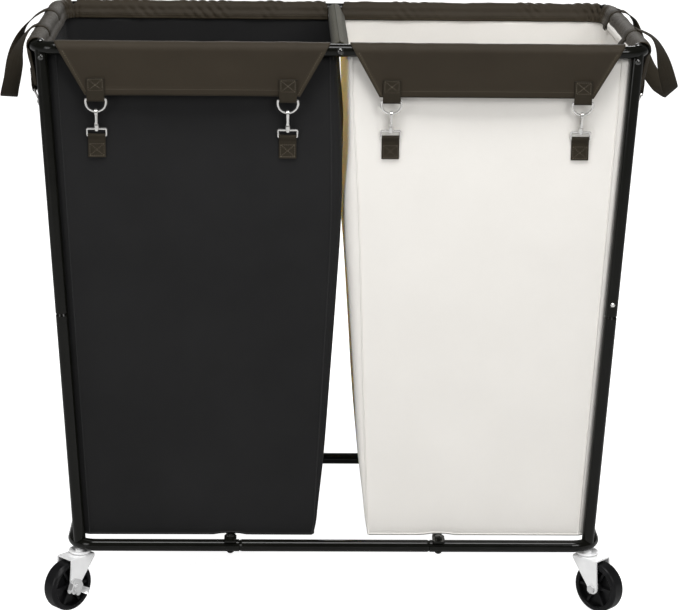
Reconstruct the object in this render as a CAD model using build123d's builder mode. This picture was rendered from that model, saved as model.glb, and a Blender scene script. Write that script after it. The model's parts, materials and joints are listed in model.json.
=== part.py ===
from build123d import *
from math import asin, atan2, cos, degrees, radians, sin, sqrt
import os

# Laundry sorter on wheels: two tapered cloth bags hooked over a bolted tube frame
# on four swivel casters. Millimetres, +Z up, the front faces -Y, +X is the viewer's right.
# The origin is on the floor under the middle of the frame.

# Tube frame
top_half_width = 430  # middle of the frame to the centre line of a top side rail
base_half_width = 387  # the same on the base ring, so the posts lean outwards
half_depth = 200  # middle to the centre line of the front and rear rails
top_height = 836  # floor to the centre line of the top ring
base_height = 97  # floor to the centre line of the base ring
corner_radius = 35  # bend of a ring's corners, on the centre line
tube_d = 18
tube_wall = 1.2
rail_joint = 137  # middle of the frame to the joint between a rail and an end
neck_length = 45  # drawn-down end that slides into the next tube
neck_cone = 4  # length of the cone between a tube and its neck
post_joint_height = 446  # where the two halves of a post meet
centre_bar_d = 16

# Crossbars under the bags
crossbar_d = 14
crossbar_at = 154  # middle of the frame to a crossbar
tab_thick = 3  # flattened end that is bolted on a base rail
tab_width = 18
tab_length = 28
tab_run = 14  # length over which the tube goes flat

# Fasteners and plugs
screw_d = 6
screw_head_d = 10.5
screw_head_h = 3
nut_h = 4
plug_length = 36
snap_d = 6.4  # sprung button that locks a post
snap_rise = 22  # button above the joint of its post
snap_proud = 2.5
snap_travel = 3
leaf_width = 6
leaf_length = 34
leaf_thick = 0.8
leaf_at = 4.6  # post axis to the inner face of the leaf

# Casters
wheel_d = 75
wheel_width = 24
wheel_crown = 4  # chamfer between tread and side
rim_depth = 8
web_width = 7
spoke_count = 6
spoke_thick = 4
spoke_width = 18
hub_d = 19
hub_width = 26
axle_d = 8
trail = 25  # swivel axis to axle
fork_gap = 28  # inside width of a fork
fork_sheet = 2.5
fork_front = 14  # plate ahead of the swivel axis
fork_back = 30  # plate behind the swivel axis
fork_foot_d = 17  # rounded foot of a fork leg round the axle
race_d = 33
race_rim = 4.6
race_floor = 2
race_to_tube = 6.1  # underside of the race to the base ring's tube
boss_d = 14
stem_d = 8
stem_reach = 42  # stem above the centre line of the base ring
kingpin_d = 10
rivet_d = 16
rivet_h = 2.8
axle_head_d = 13
axle_head_h = 5
brake_plate = 26  # width and height of a brake lever's plate
brake_wing = 13  # how far its two wings stand out
brake_sheet = 1.5
brake_splay = 20  # degrees, wings from square to the plate
brake_tilt = 24  # degrees, the lever at rest, its trailing wing up

# Bags and flaps
cloth = 1.6  # flaps and bags
bag_below_ring = 10  # centre line of the top ring to the upper edge of the bags' walls
bag_corner_top = 35
bag_corner_bottom = 22
bag_corner_steps = 4  # flats that turn a bag's corner
bag_bottom_half_depth = 184
bag_bottom_outer = 366  # middle of the frame to the outer edge of a bag's bottom
black_bottom_inner = 30
ivory_bottom_inner = 44
bulge_height = 600  # where the two inner walls come closest
bulge_inner = 3  # middle of the frame to either inner wall there
flap_inner_drop = 14  # flap below the rail's centre line, inside
flap_drop = 65  # the same, outside
flap_lean = 5  # degrees, outside part drawn in by the hooks
flap_inset = 41  # side edges of a flap run in by this much from the rail's top to the hem
flap_from_middle = 15

# Hook sets: strap, D ring, swivel snap hook, loop and strap
inner_hook = 73  # middle of the frame to the inner hooks at front and rear
outer_hook_in = 87  # centre line of a top side rail to the outer hooks there
end_hook = 120  # middle of the frame to the hooks at the ends
strap_width = 25
strap_thick = 1.5
strap_sewn = 25  # upper strap on the flap
strap_free = 6  # hem to the bar of the D ring
bag_strap_length = 31
wire = 2.8
ring_width = 30
ring_drop = 19  # D ring, bar to the bottom of its bow
hook_length = 26.7  # bow of the ring to the top bar of the loop
loop_width = 30
loop_height = 10.5  # between the middles of its two bars
hook_width = 11
hook_thick = 3.8
hook_mouth = 6.5  # crest of the hook to the end of its nose
hook_base = 8.6  # loop to the bottom of the hook's opening
hook_collar = 4  # loop to the top of the collar that turns on it
hook_collar_d = 6.8
gate_thick = 2.4
gate_pin_d = 1.6
gate_rise = 4.4  # collar to the gate's pin
swivel_d = 3.2
swivel_head_d = 5
swivel_head_h = 1.2

# Handles
handle_width = 25
handle_thick = 2
handle_front = -65  # along the side rail, middle of the front leg
handle_back = 105
handle_lean = 27  # degrees from hanging straight down
handle_length = 119
handle_start = 80  # degrees above the horizontal, where the webbing is sewn down
handle_fold = 14  # cut corner where the webbing folds

# Clearances
slip = 0.15  # tube in tube, plug in tube
seat = 0.2  # one round piece seated on another
bolt_room = 0.2
pivot_room = 0.3
cloth_room = 0.3
face_gap = 0.05

# Values worked out from the sizes above
tube_r = tube_d / 2
tube_bore = tube_r - tube_wall
neck_r = tube_bore - slip
corner_shift = corner_radius * (1 - sqrt(0.5))
head_x = top_half_width - corner_shift
foot_x = base_half_width - corner_shift
post_y = half_depth - corner_shift
post_lean = atan2(head_x - foot_x, top_height - base_height)
post_length = (top_height - base_height) / cos(post_lean)
lower_length = (post_joint_height - base_height) / cos(post_lean)
flap_in_r = tube_r + cloth_room
flap_out_r = flap_in_r + cloth
bag_inset = flap_out_r + cloth_room
bag_top = top_height - bag_below_ring
bag_top_half_depth = half_depth - bag_inset
bag_top_outer = top_half_width - bag_inset
bag_top_inner = centre_bar_d / 2 + cloth_room + cloth + cloth_room
tab_bottom = base_height + tube_r + face_gap
tab_top = tab_bottom + tab_thick
crossbar_z = tab_top - crossbar_d / 2
bag_bottom = tab_top + cloth_room
wheel_r = wheel_d / 2
fork_half = fork_gap / 2 + fork_sheet
fork_top = base_height - tube_r - race_to_tube - 2 * seat
front_hooks = (inner_hook, top_half_width - outer_hook_in)
corners = [(sx, sy) for sx in (-1, 1) for sy in (-1, 1)]
corner_names = {(-1, -1): "front_left", (1, -1): "front_right", (-1, 1): "rear_left", (1, 1): "rear_right"}
side_names = {-1: "left", 1: "right"}
braked = [(-1, -1), (1, 1)]
up = Vector(0, 0, 1)

os.makedirs("parts", exist_ok=True)


def save(piece, name):
    piece.label = name
    export_step(piece, f"parts/{name}.step")


# Frames of reference


def post_plane(sx, sy):
    """At a post's foot on the base ring's centre line, Z along the post, X towards its button."""
    foot = Vector(sx * foot_x, sy * post_y, base_height)
    head = Vector(sx * head_x, sy * post_y, top_height)
    return Plane(origin=foot, x_dir=(0, sx * sy, 0), z_dir=head - foot)


def caster_plane(sx, sy):
    """On the floor under a swivel axis, X along the trail, which points out over the corner."""
    return Plane(origin=(sx * foot_x, sy * post_y, 0), x_dir=(sx, sy, 0), z_dir=up)


def profile_plane(plane):
    """Upright plane through a plane's Z axis, for profiles turned about that axis."""
    return Plane(origin=plane.origin, x_dir=plane.x_dir, z_dir=-plane.y_dir)


def wall_plane(rail_point, outward):
    """Across a rail: X points out of the frame and Y up."""
    return Plane(origin=rail_point, x_dir=outward, z_dir=outward.cross(up))


# Tubes


def swaged_tube(plane, length, neck_start, neck_end):
    """Straight tube along the plane's Z axis, with the chosen ends drawn down to a neck."""
    outer = [(tube_r, 0), (tube_r, length)]
    inner = [(tube_bore, length), (tube_bore, 0)]
    if neck_end:
        outer += [(neck_r, length + neck_cone), (neck_r, length + neck_length)]
        inner = [(neck_r - tube_wall, length + neck_length), (neck_r - tube_wall, length + neck_cone)] + inner
    if neck_start:
        outer = [(neck_r, -neck_length), (neck_r, -neck_cone)] + outer
        inner += [(neck_r - tube_wall, -neck_cone), (neck_r - tube_wall, -neck_length)]
    with BuildPart() as tube:
        with BuildSketch(profile_plane(plane)):
            with BuildLine():
                Polyline(*outer, *inner, close=True)
            make_face()
        revolve(axis=Axis(plane.origin, plane.z_dir))
    return tube.part


def ring_end(side, half_width, height, radius, bore):
    """U-shaped end of a ring, open towards the middle of the frame."""
    with BuildPart() as end:
        with BuildLine(Plane.XY.offset(height)) as path:
            FilletPolyline(
                (side * (rail_joint + neck_cone), -half_depth),
                (side * half_width, -half_depth),
                (side * half_width, half_depth),
                (side * (rail_joint + neck_cone), half_depth),
                radius=corner_radius,
            )
        with BuildSketch(Plane(origin=path.line @ 0, z_dir=path.line % 0)):
            Circle(radius)
            if bore:
                Circle(bore, mode=Mode.SUBTRACT)
        sweep()
    return end.part


def ring_room(side, half_width, height):
    """Room for a ring's end, cut from what is seated on it."""
    return ring_end(side, half_width, height, tube_r + seat, 0)


def rail(sy, height):
    """Middle stretch of a front or rear rail, with a neck at both ends."""
    start = Plane(origin=(-rail_joint, sy * half_depth, height), x_dir=(0, 1, 1), z_dir=(1, 0, 0))
    return swaged_tube(start, 2 * rail_joint, True, True)


bolt_spots = [(sx * crossbar_at, sy * half_depth, base_height) for sx, sy in corners]
stem_spots = [(sx * foot_x, sy * post_y, base_height) for sx, sy in corners]
post_heads = [post_plane(sx, sy).offset(post_length) for sx, sy in corners]
bar_ends = [Plane(origin=(0, sy * half_depth, top_height), z_dir=(0, sy, 0)) for sy in (-1, 1)]
bolt_hole = screw_d / 2 + bolt_room

for side in (-1, 1):
    with BuildPart() as base_end:
        add(ring_end(side, base_half_width, base_height, tube_r, tube_bore))
        with Locations(*stem_spots):
            Cylinder(stem_d / 2 + bolt_room, 2 * tube_d, mode=Mode.SUBTRACT)
        with Locations(*bolt_spots):
            Cylinder(bolt_hole, 2 * tube_d, mode=Mode.SUBTRACT)
    save(base_end.part, f"base_end_{side_names[side]}")

    with BuildPart() as top_end:
        add(ring_end(side, top_half_width, top_height, tube_r, tube_bore))
        with Locations(*post_heads):
            Cylinder(bolt_hole, 2 * tube_d, mode=Mode.SUBTRACT)
    save(top_end.part, f"top_end_{side_names[side]}")

with BuildPart() as base_rails:
    for sy in (-1, 1):
        add(rail(sy, base_height))
    with Locations(*bolt_spots):
        Cylinder(bolt_hole, 2 * tube_d, mode=Mode.SUBTRACT)
save(base_rails.part, "base_rails")

with BuildPart() as top_rails:
    for sy in (-1, 1):
        add(rail(sy, top_height))
    with Locations(*bar_ends):
        Cylinder(bolt_hole, 2 * tube_d, mode=Mode.SUBTRACT)
save(top_rails.part, "top_rails")

# Bar between the two bags, with its ends shaped to the rails
with BuildPart() as centre_bar:
    with BuildSketch(Plane.XZ.offset(-half_depth)):
        with Locations((0, top_height)):
            Circle(centre_bar_d / 2)
            Circle(centre_bar_d / 2 - tube_wall, mode=Mode.SUBTRACT)
    extrude(amount=2 * half_depth)
    with Locations(*[(0, sy * half_depth, top_height) for sy in (-1, 1)]):
        Cylinder(tube_r + seat, 4 * tube_d, rotation=(0, 90, 0), mode=Mode.SUBTRACT)
    keep = centre_bar.part.solids().sort_by(SortBy.VOLUME)[-1]
    add(keep, mode=Mode.REPLACE)
save(centre_bar.part, "centre_bar")

# Crossbars: tubes with both ends pressed flat, level with their tops, and bolted on the base rails
flat_from = half_depth - tab_length / 2 - tab_run
with BuildPart() as crossbars:
    for sx in (-1, 1):
        at = sx * crossbar_at
        with BuildSketch(Plane.XZ.offset(-flat_from)):
            with Locations((at, crossbar_z)):
                Circle(crossbar_d / 2)
                Circle(crossbar_d / 2 - tube_wall, mode=Mode.SUBTRACT)
        extrude(amount=2 * flat_from)
        for sy in (-1, 1):
            round_end = Plane(origin=(at, sy * flat_from, crossbar_z), x_dir=(1, 0, 0), z_dir=(0, sy, 0))
            with BuildSketch(round_end):
                Circle(crossbar_d / 2)
            tab_middle = (tab_bottom + tab_top) / 2 - crossbar_z
            with BuildSketch(round_end.offset(tab_run)):
                with Locations((0, sy * -tab_middle)):
                    Ellipse(tab_width / 2, tab_thick / 2)
            loft()
            with BuildSketch(Plane.XY.offset(tab_bottom)):
                with Locations((at, sy * half_depth)):
                    RectangleRounded(tab_width, tab_length, tab_width / 4)
            extrude(amount=tab_thick)
    with Locations(*bolt_spots):
        Cylinder(bolt_hole, 4 * tube_d, mode=Mode.SUBTRACT)
save(crossbars.part, "crossbars")

# Posts: the lower half's neck slides into the upper half, and a sprung button locks them
snap_at = lower_length + snap_rise
for sx, sy in corners:
    name = corner_names[(sx, sy)]
    plane = post_plane(sx, sy)
    snap_axis = Plane(origin=plane.offset(snap_at).origin, x_dir=plane.z_dir, z_dir=plane.x_dir)
    saddle = tube_r / 3

    with BuildPart() as post_lower:
        add(swaged_tube(plane.offset(saddle), lower_length - saddle, False, True))
        add(ring_room(sx, base_half_width, base_height), mode=Mode.SUBTRACT)
        with Locations(snap_axis):
            Cylinder(
                snap_d / 2 + bolt_room, tube_d, align=(Align.CENTER, Align.CENTER, Align.MIN), mode=Mode.SUBTRACT
            )
    save(post_lower.part, f"post_lower_{name}")

    with BuildPart() as post_upper:
        with BuildSketch(plane.offset(lower_length + neck_cone)):
            Circle(tube_r)
            Circle(tube_bore, mode=Mode.SUBTRACT)
        extrude(amount=post_length - lower_length - neck_cone - saddle)
        add(ring_room(sx, top_half_width, top_height), mode=Mode.SUBTRACT)
        with Locations(snap_axis):
            Cylinder(
                snap_d / 2 + bolt_room, tube_d, align=(Align.CENTER, Align.CENTER, Align.MIN), mode=Mode.SUBTRACT
            )
    save(post_upper.part, f"post_upper_{name}")

    with BuildPart() as snap_button:
        with BuildSketch(snap_axis.offset(leaf_at)):
            with Locations((leaf_length / 2 - leaf_width, 0)):
                Rectangle(leaf_length, leaf_width)
        extrude(amount=leaf_thick)
        with BuildSketch(snap_axis.offset(leaf_at + leaf_thick)):
            Circle(snap_d / 2)
        extrude(amount=tube_r + snap_proud - leaf_at - leaf_thick)
        tip = snap_button.faces().sort_by(Axis(snap_axis.origin, snap_axis.z_dir))[-1]
        chamfer(tip.edges(), snap_proud / 2)
    save(snap_button.part, f"snap_button_{name}")

# Plugs inside the tube ends, which the screws and the caster stems hold on to
with BuildPart() as tube_plugs:
    for sx, sy in corners:
        plane = post_plane(sx, sy)
        with BuildSketch(plane.offset(tube_r + 2 * seat)):
            Circle(tube_bore - slip)
        extrude(amount=plug_length)
        with BuildSketch(plane.offset(post_length - tube_r - 2 * seat - plug_length)):
            Circle(tube_bore - slip)
        extrude(amount=plug_length)
    for end in bar_ends:
        with BuildSketch(end.offset(-tube_r - 2 * seat - plug_length)):
            Circle(centre_bar_d / 2 - tube_wall - slip)
        extrude(amount=plug_length)
    with Locations(*stem_spots):
        Cylinder(
            stem_d / 2 + slip, 2 * plug_length, align=(Align.CENTER, Align.CENTER, Align.MIN), mode=Mode.SUBTRACT
        )
    with Locations(*post_heads, *bar_ends):
        Cylinder(
            screw_d / 2 + slip, 2 * plug_length, align=(Align.CENTER, Align.CENTER, Align.MAX), mode=Mode.SUBTRACT
        )
save(tube_plugs.part, "tube_plugs")

# Dome-head screw, its origin on the centre line of the tube that it goes through
head_r = screw_head_d / 2
dome_r = (head_r**2 + screw_head_h**2) / (2 * screw_head_h)
dome_angle = degrees(asin(head_r / dome_r))


def dome_screw(tail):
    """Screw or bolt along Z: its dome on top of a tube, its shank ending at tail below."""
    head_from = tube_r + 2 * seat
    apex = head_from + screw_head_h
    with BuildPart() as form:
        with BuildSketch(Plane.XZ):
            with BuildLine():
                Polyline((0, apex), (0, tail), (screw_d / 2, tail), (screw_d / 2, head_from), (head_r, head_from))
                CenterArc((0, apex - dome_r), dome_r, 90 - dome_angle, dome_angle)
            make_face()
        revolve(axis=Axis.Z)
    return form.part


with BuildPart() as frame_screws:
    with Locations(*post_heads, *bar_ends):
        add(dome_screw(-plug_length / 2))
save(frame_screws.part, "frame_screws")

# Crossbar bolts: dome head under the rail, nut on top of the tab
bolt_grip = tab_bottom + tab_thick + face_gap - base_height
with BuildPart() as bolt_form:
    add(dome_screw(-bolt_grip - nut_h - 1), rotation=(180, 0, 0))
    with BuildSketch(Plane.XY.offset(bolt_grip)):
        RegularPolygon(head_r, 6)
    extrude(amount=nut_h)

with BuildPart() as crossbar_bolts:
    with Locations(*bolt_spots):
        add(bolt_form.part)
save(crossbar_bolts.part, "crossbar_bolts")

# Casters, each form standing on the floor with its swivel axis on Z and its trail along X
fork_under = fork_top - fork_sheet
race_bottom = fork_top + 2 * seat
boss_top = base_height - tube_r - face_gap
with BuildPart() as stem_form:
    with BuildSketch(Plane.XZ):
        with BuildLine():
            Polyline(
                (0, fork_under - seat - rivet_h),
                (rivet_d / 2 - 1, fork_under - seat - rivet_h),
                (rivet_d / 2, fork_under - seat - rivet_h + 1),
                (rivet_d / 2, fork_under - seat),
                (kingpin_d / 2, fork_under - seat),
                (kingpin_d / 2, race_bottom),
                (race_d / 2 - race_floor, race_bottom),
                (race_d / 2, race_bottom + race_floor),
                (race_d / 2, race_bottom + race_rim),
                (race_d / 2 - race_floor, race_bottom + race_rim),
                (race_d / 2 - 2 * race_floor, race_bottom + race_floor),
                (boss_d / 2, race_bottom + race_floor),
                (boss_d / 2, boss_top),
                (stem_d / 2, boss_top),
                (stem_d / 2, base_height + stem_reach),
                (0, base_height + stem_reach),
                close=True,
            )
        make_face()
    revolve(axis=Axis.Z)

with BuildPart() as caster_stems:
    with Locations(*[caster_plane(sx, sy) for sx, sy in corners]):
        add(stem_form.part)
save(caster_stems.part, "caster_stems")

# Fork: a bent sheet whose legs taper down to a rounded foot at the axle
foot_r = fork_foot_d / 2
with BuildPart() as fork_form:
    with BuildSketch(Plane.XZ.offset(-fork_half)):
        with BuildLine():
            Polyline(
                (trail + foot_r, wheel_r),
                (fork_back, fork_top),
                (-fork_front, fork_top),
                (-fork_front, fork_under - fork_sheet),
                (trail - foot_r, wheel_r),
            )
            ThreePointArc((trail - foot_r, wheel_r), (trail, wheel_r - foot_r), (trail + foot_r, wheel_r))
        make_face()
    extrude(amount=2 * fork_half)
    bends = fork_form.edges().filter_by(Axis.X).group_by(Axis.Z)[-1]
    fillet(bends, fork_sheet)
    with Locations((0, 0, fork_under)):
        Box(
            4 * race_d, fork_gap, fork_top, align=(Align.CENTER, Align.CENTER, Align.MAX), mode=Mode.SUBTRACT
        )
    with Locations((0, 0, fork_top)):
        Cylinder(kingpin_d / 2 + pivot_room, 4 * fork_sheet, mode=Mode.SUBTRACT)
    with Locations((trail, 0, wheel_r)):
        Cylinder(axle_d / 2 + slip, 4 * fork_half, rotation=(90, 0, 0), mode=Mode.SUBTRACT)

# Wheel about its own axle, which lies along Y
rim_r = wheel_r - rim_depth
with BuildPart() as wheel_form:
    with BuildSketch(Plane.XY):
        with BuildLine():
            half_profile = [
                (axle_d / 2 + pivot_room, hub_width / 2),
                (hub_d / 2, hub_width / 2),
                (hub_d / 2, web_width / 2),
                (rim_r, web_width / 2),
                (rim_r, wheel_width / 2 - 1),
                (rim_r + 1, wheel_width / 2),
                (wheel_r - wheel_crown, wheel_width / 2),
                (wheel_r - wheel_crown / 4, wheel_width / 2 - wheel_crown / 2),
                (wheel_r, wheel_width / 2 - wheel_crown),
            ]
            Polyline(*half_profile, *[(x, -y) for x, y in reversed(half_profile)], close=True)
        make_face()
    revolve(axis=Axis.Y)
    with BuildSketch(Plane.XZ.offset(-spoke_width / 2)):
        with PolarLocations((hub_d / 2 + rim_r) / 2, spoke_count):
            Rectangle(rim_r - hub_d / 2 + 1, spoke_thick)
    extrude(amount=spoke_width)

# Brake lever about its axle: a plate with a wavy lower edge and two wings bent outwards
half_plate = brake_plate / 2
with BuildPart() as brake_form:
    with BuildSketch(Plane.XZ.offset(-fork_half - 2 * seat)):
        with BuildLine():
            bump = brake_plate / 6
            Polyline(
                (half_plate, -half_plate / 2),
                (half_plate, half_plate / 2),
                (half_plate / 2, half_plate),
                (-half_plate / 2, half_plate),
                (-half_plate, half_plate / 2),
                (-half_plate, -half_plate / 2),
            )
            for step in range(3):
                start = -half_plate + 2 * bump * step
                ThreePointArc(
                    (start, -half_plate / 2),
                    (start + bump, -half_plate / 2 - bump),
                    (start + 2 * bump, -half_plate / 2),
                )
        make_face()
        Circle(axle_d / 2 + pivot_room, mode=Mode.SUBTRACT)
    extrude(amount=-brake_sheet)
    for sx in (-1, 1):
        root = (sx * (half_plate - brake_sheet / 2), fork_half + 2 * seat + brake_sheet / 2, 0)
        with Locations(Location(root, (0, 0, -sx * brake_splay))):
            Box(brake_sheet, brake_wing, half_plate - 2 * brake_sheet, align=(Align.CENTER, Align.MIN, Align.CENTER))

for sx, sy in corners:
    name = corner_names[(sx, sy)]
    plane = caster_plane(sx, sy)
    axle_plane = Plane(origin=plane.from_local_coords((trail, 0, wheel_r)), x_dir=plane.x_dir, z_dir=up)
    has_brake = (sx, sy) in braked

    with BuildPart() as caster_fork:
        with Locations(plane):
            add(fork_form.part)
    save(caster_fork.part, f"caster_fork_{name}")

    with BuildPart() as caster_wheel:
        with Locations(axle_plane):
            add(wheel_form.part)
    save(caster_wheel.part, f"caster_wheel_{name}")

    # Axle bolt: hex head on the far leg, nut on the near leg or over the brake lever
    near_face = fork_half + face_gap + has_brake * (brake_sheet + 4 * seat)
    with BuildPart() as caster_axle:
        bolt_plane = Plane(origin=axle_plane.origin, x_dir=up, z_dir=axle_plane.y_dir)
        with BuildSketch(bolt_plane.offset(-fork_half - face_gap - axle_head_h)):
            RegularPolygon(axle_head_d / 2, 6)
        extrude(amount=axle_head_h)
        with BuildSketch(bolt_plane.offset(-fork_half - face_gap)):
            Circle(axle_d / 2)
        extrude(amount=fork_half + face_gap + near_face + axle_head_h + 1)
        with BuildSketch(bolt_plane.offset(near_face)):
            RegularPolygon(axle_head_d / 2, 6)
        extrude(amount=axle_head_h)
    save(caster_axle.part, f"caster_axle_{name}")

    if has_brake:
        with BuildPart() as brake_lever:
            with Locations(axle_plane):
                add(brake_form.part, rotation=(0, -brake_tilt, 0))
        save(brake_lever.part, f"brake_lever_{name}")


# Bags


def bag_outline(side, height, inset):
    """Corner points of a bag at a height, drawn in by inset, with each corner turned in short steps."""
    bottom_inner = black_bottom_inner if side < 0 else ivory_bottom_inner
    share = (height - bag_bottom) / (bag_top - bag_bottom)
    outer = bag_bottom_outer + share * (bag_top_outer - bag_bottom_outer)
    depth = bag_bottom_half_depth + share * (bag_top_half_depth - bag_bottom_half_depth)
    corner = bag_corner_bottom + share * (bag_corner_top - bag_corner_bottom)
    if height >= bulge_height:
        inner_share = (height - bulge_height) / (bag_top - bulge_height)
        inner = bulge_inner + inner_share * (bag_top_inner - bulge_inner)
    else:
        inner_share = (height - bag_bottom) / (bulge_height - bag_bottom)
        inner = bottom_inner + inner_share * (bulge_inner - bottom_inner)
    middle = side * (outer + inner) / 2
    reach_x = (outer - inner) / 2 - corner
    reach_y = depth - corner
    points = []
    for quarter in range(4):
        for step in range(bag_corner_steps + 1):
            angle = radians(90 * (quarter + step / bag_corner_steps))
            sign_x = 1 if quarter in (0, 3) else -1
            sign_y = 1 if quarter in (0, 1) else -1
            x = middle + sign_x * reach_x + (corner - inset) * cos(angle)
            y = sign_y * reach_y + (corner - inset) * sin(angle)
            points.append((x, y))
    return points


def bag_solid(side, inset, floor):
    """Bag filled from its floor up to its upper edge, drawn in by inset."""
    with BuildPart() as form:
        for height in (floor, bulge_height, bag_top):
            with BuildSketch(Plane.XY.offset(height)):
                with BuildLine():
                    Polyline(*bag_outline(side, height, inset), close=True)
                make_face()
        loft(ruled=True)
    return form.part


for side, name in ((-1, "bag_black"), (1, "bag_ivory")):
    with BuildPart() as bag:
        add(bag_solid(side, 0, bag_bottom))
        add(bag_solid(side, cloth, bag_bottom + cloth), mode=Mode.SUBTRACT)
    save(bag.part, name)


# Flaps: cloth that comes up inside a rail, goes over it and hangs down outside


def flap(rail_start, outward, length):
    """Flap over a rail that runs from rail_start along outward x up."""
    lean = radians(flap_lean)
    down = Vector(-sin(lean), -cos(lean))
    out = Vector(cos(lean), -sin(lean))
    run = (flap_drop - flap_out_r * sin(lean)) / cos(lean)
    across = wall_plane(rail_start, outward)
    with BuildPart() as piece:
        with BuildSketch(across):
            with BuildLine():
                Line((-flap_in_r, -flap_inner_drop), (-flap_in_r, 0))
                ThreePointArc((-flap_in_r, 0), (0, flap_in_r), out * flap_in_r)
                Line(out * flap_in_r, out * flap_in_r + down * run)
                Line(out * flap_in_r + down * run, out * flap_out_r + down * run)
                Line(out * flap_out_r + down * run, out * flap_out_r)
                ThreePointArc(out * flap_out_r, (0, flap_out_r), (-flap_out_r, 0))
                Line((-flap_out_r, 0), (-flap_out_r, -flap_inner_drop))
                Line((-flap_out_r, -flap_inner_drop), (-flap_in_r, -flap_inner_drop))
            make_face()
        extrude(amount=length)
        with BuildSketch(Plane(origin=rail_start, x_dir=across.z_dir, z_dir=-outward)):
            deep = -2 * flap_drop
            slope = flap_inset / (flap_drop + flap_out_r)
            for start, turn in ((0, 1), (length, -1)):
                Polygon(
                    (start, flap_out_r),
                    (start + turn * slope * (flap_out_r - deep), deep),
                    (start, deep),
                    align=None,
                )
        extrude(amount=-2 * tube_d, mode=Mode.SUBTRACT)
    return piece.part


def centre_flap(side):
    """One bag's half of the sleeve over the bar between the bags."""
    in_r = centre_bar_d / 2 + cloth_room
    out_r = in_r + cloth
    reach = half_depth - tube_r - 2 * cloth
    with BuildPart() as piece:
        with BuildSketch(Plane.XZ.offset(-reach)):
            with BuildLine(Plane.XY.offset(0)):
                mid = sqrt(0.5)
                Line((side * face_gap, top_height + in_r), (side * face_gap, top_height + out_r))
                ThreePointArc(
                    (side * face_gap, top_height + out_r),
                    (side * out_r * mid, top_height + out_r * mid),
                    (side * out_r, top_height),
                )
                Line((side * out_r, top_height), (side * out_r, top_height - flap_inner_drop))
                Line((side * out_r, top_height - flap_inner_drop), (side * in_r, top_height - flap_inner_drop))
                Line((side * in_r, top_height - flap_inner_drop), (side * in_r, top_height))
                ThreePointArc(
                    (side * in_r, top_height),
                    (side * in_r * mid, top_height + in_r * mid),
                    (side * face_gap, top_height + in_r),
                )
            make_face()
        extrude(amount=2 * reach)
    return piece.part


corner_start = top_half_width - corner_radius - 1
end_reach = half_depth - corner_radius - 1
for side, colour in ((-1, "black"), (1, "ivory")):
    for sy, place in ((-1, "front"), (1, "rear")):
        outward = Vector(0, sy, 0)
        along = outward.cross(up).X
        first = min(side * flap_from_middle * along, side * corner_start * along)
        start = Vector(first * along, sy * half_depth, top_height)
        save(flap(start, outward, corner_start - flap_from_middle), f"flap_{colour}_{place}")
    outward = Vector(side, 0, 0)
    start = Vector(side * top_half_width, -end_reach * outward.cross(up).Y, top_height)
    save(flap(start, outward, 2 * end_reach), f"flap_{colour}_end")
    save(centre_flap(side), f"flap_{colour}_centre")

# Hook sets. A chain hangs from the flap's hem to the bag's wall, drawn in towards the bag.
lean = radians(flap_lean)
hem_run = (flap_drop - flap_out_r * sin(lean)) / cos(lean)
strap_off = face_gap + strap_thick / 2
eye_in = 0.6 * wire + seat
eye_out = eye_in + strap_thick
chain_length = ring_drop + hook_length + loop_height


def hook_frames(outward, rail_reach, bag_top_reach, bag_bottom_reach):
    """Frames of the upper strap, the chain and the lower strap on one wall, all at rail_reach."""
    down = outward * -sin(lean) - up * cos(lean)
    out = outward * cos(lean) - up * sin(lean)
    rail_middle = outward * rail_reach + up * top_height
    hem = rail_middle + out * flap_out_r + down * hem_run
    bar = hem + down * strap_free + out * strap_off
    slope = (bag_top_reach - bag_bottom_reach) / (bag_top - bag_bottom)
    wall = atan2(slope, 1)
    wall_up = outward * sin(wall) + up * cos(wall)
    wall_out = outward * cos(wall) - up * sin(wall)
    foot = outward * bag_bottom_reach + up * bag_bottom + wall_out * (eye_out + seat)
    offset = bar - foot
    rise = offset.dot(wall_up)
    away = offset.dot(wall_out)
    low_bar = foot + wall_up * (rise - sqrt(chain_length**2 - away**2))
    along = outward.cross(up)
    upper = Plane(origin=bar, x_dir=along, z_dir=-down)
    chain = Plane(origin=bar, x_dir=along, z_dir=bar - low_bar)
    lower = Plane(origin=low_bar, x_dir=along, z_dir=wall_up)
    return upper, chain, lower


def shifted(plane, along):
    return Plane(origin=plane.origin + plane.x_dir * along, x_dir=plane.x_dir, z_dir=plane.z_dir)


walls = {}
for sy, place in ((-1, "front"), (1, "rear")):
    frames = hook_frames(Vector(0, sy, 0), half_depth, bag_top_half_depth, bag_bottom_half_depth)
    spots = [sx * x for sx in (-1, 1) for x in front_hooks]
    walls[place] = [[shifted(frame, x) for x in spots] for frame in frames]
for sx, place in ((-1, "left"), (1, "right")):
    frames = hook_frames(Vector(sx, 0, 0), top_half_width, bag_top_outer, bag_bottom_outer)
    walls[place] = [[shifted(frame, y) for y in (-end_hook, end_hook)] for frame in frames]
upper_frames, chain_frames, lower_frames = [
    [frame for place in walls for frame in walls[place][kind]] for kind in range(3)
]

# Straps: a flat tongue that narrows to an eye of folded webbing round a bar, which lies along X


def strap(eye_width, length, turn, off):
    """Strap whose tongue runs from the eye up (turn 1) or down (turn -1), off to one side by off."""
    with BuildPart() as form:
        with BuildSketch(Plane.YZ.offset(-eye_width / 2)):
            Circle(eye_out)
            with Locations((off, turn * eye_out / 2)):
                Rectangle(strap_thick, eye_out + strap_thick)
            Circle(eye_in, mode=Mode.SUBTRACT)
        extrude(amount=eye_width)
        with BuildSketch(Plane.YZ.offset(-strap_width / 2)):
            with Locations((off, turn * (eye_out + length) / 2)):
                Rectangle(strap_thick, length - eye_out)
        extrude(amount=strap_width)
    return form.part


upper_strap = strap(ring_width - 2 * wire - 2 * seat, strap_sewn + strap_free, 1, 0)
lower_strap = strap(loop_width - 2 * wire - 2 * seat, bag_strap_length, -1, strap_thick / 2 - eye_out)

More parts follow.
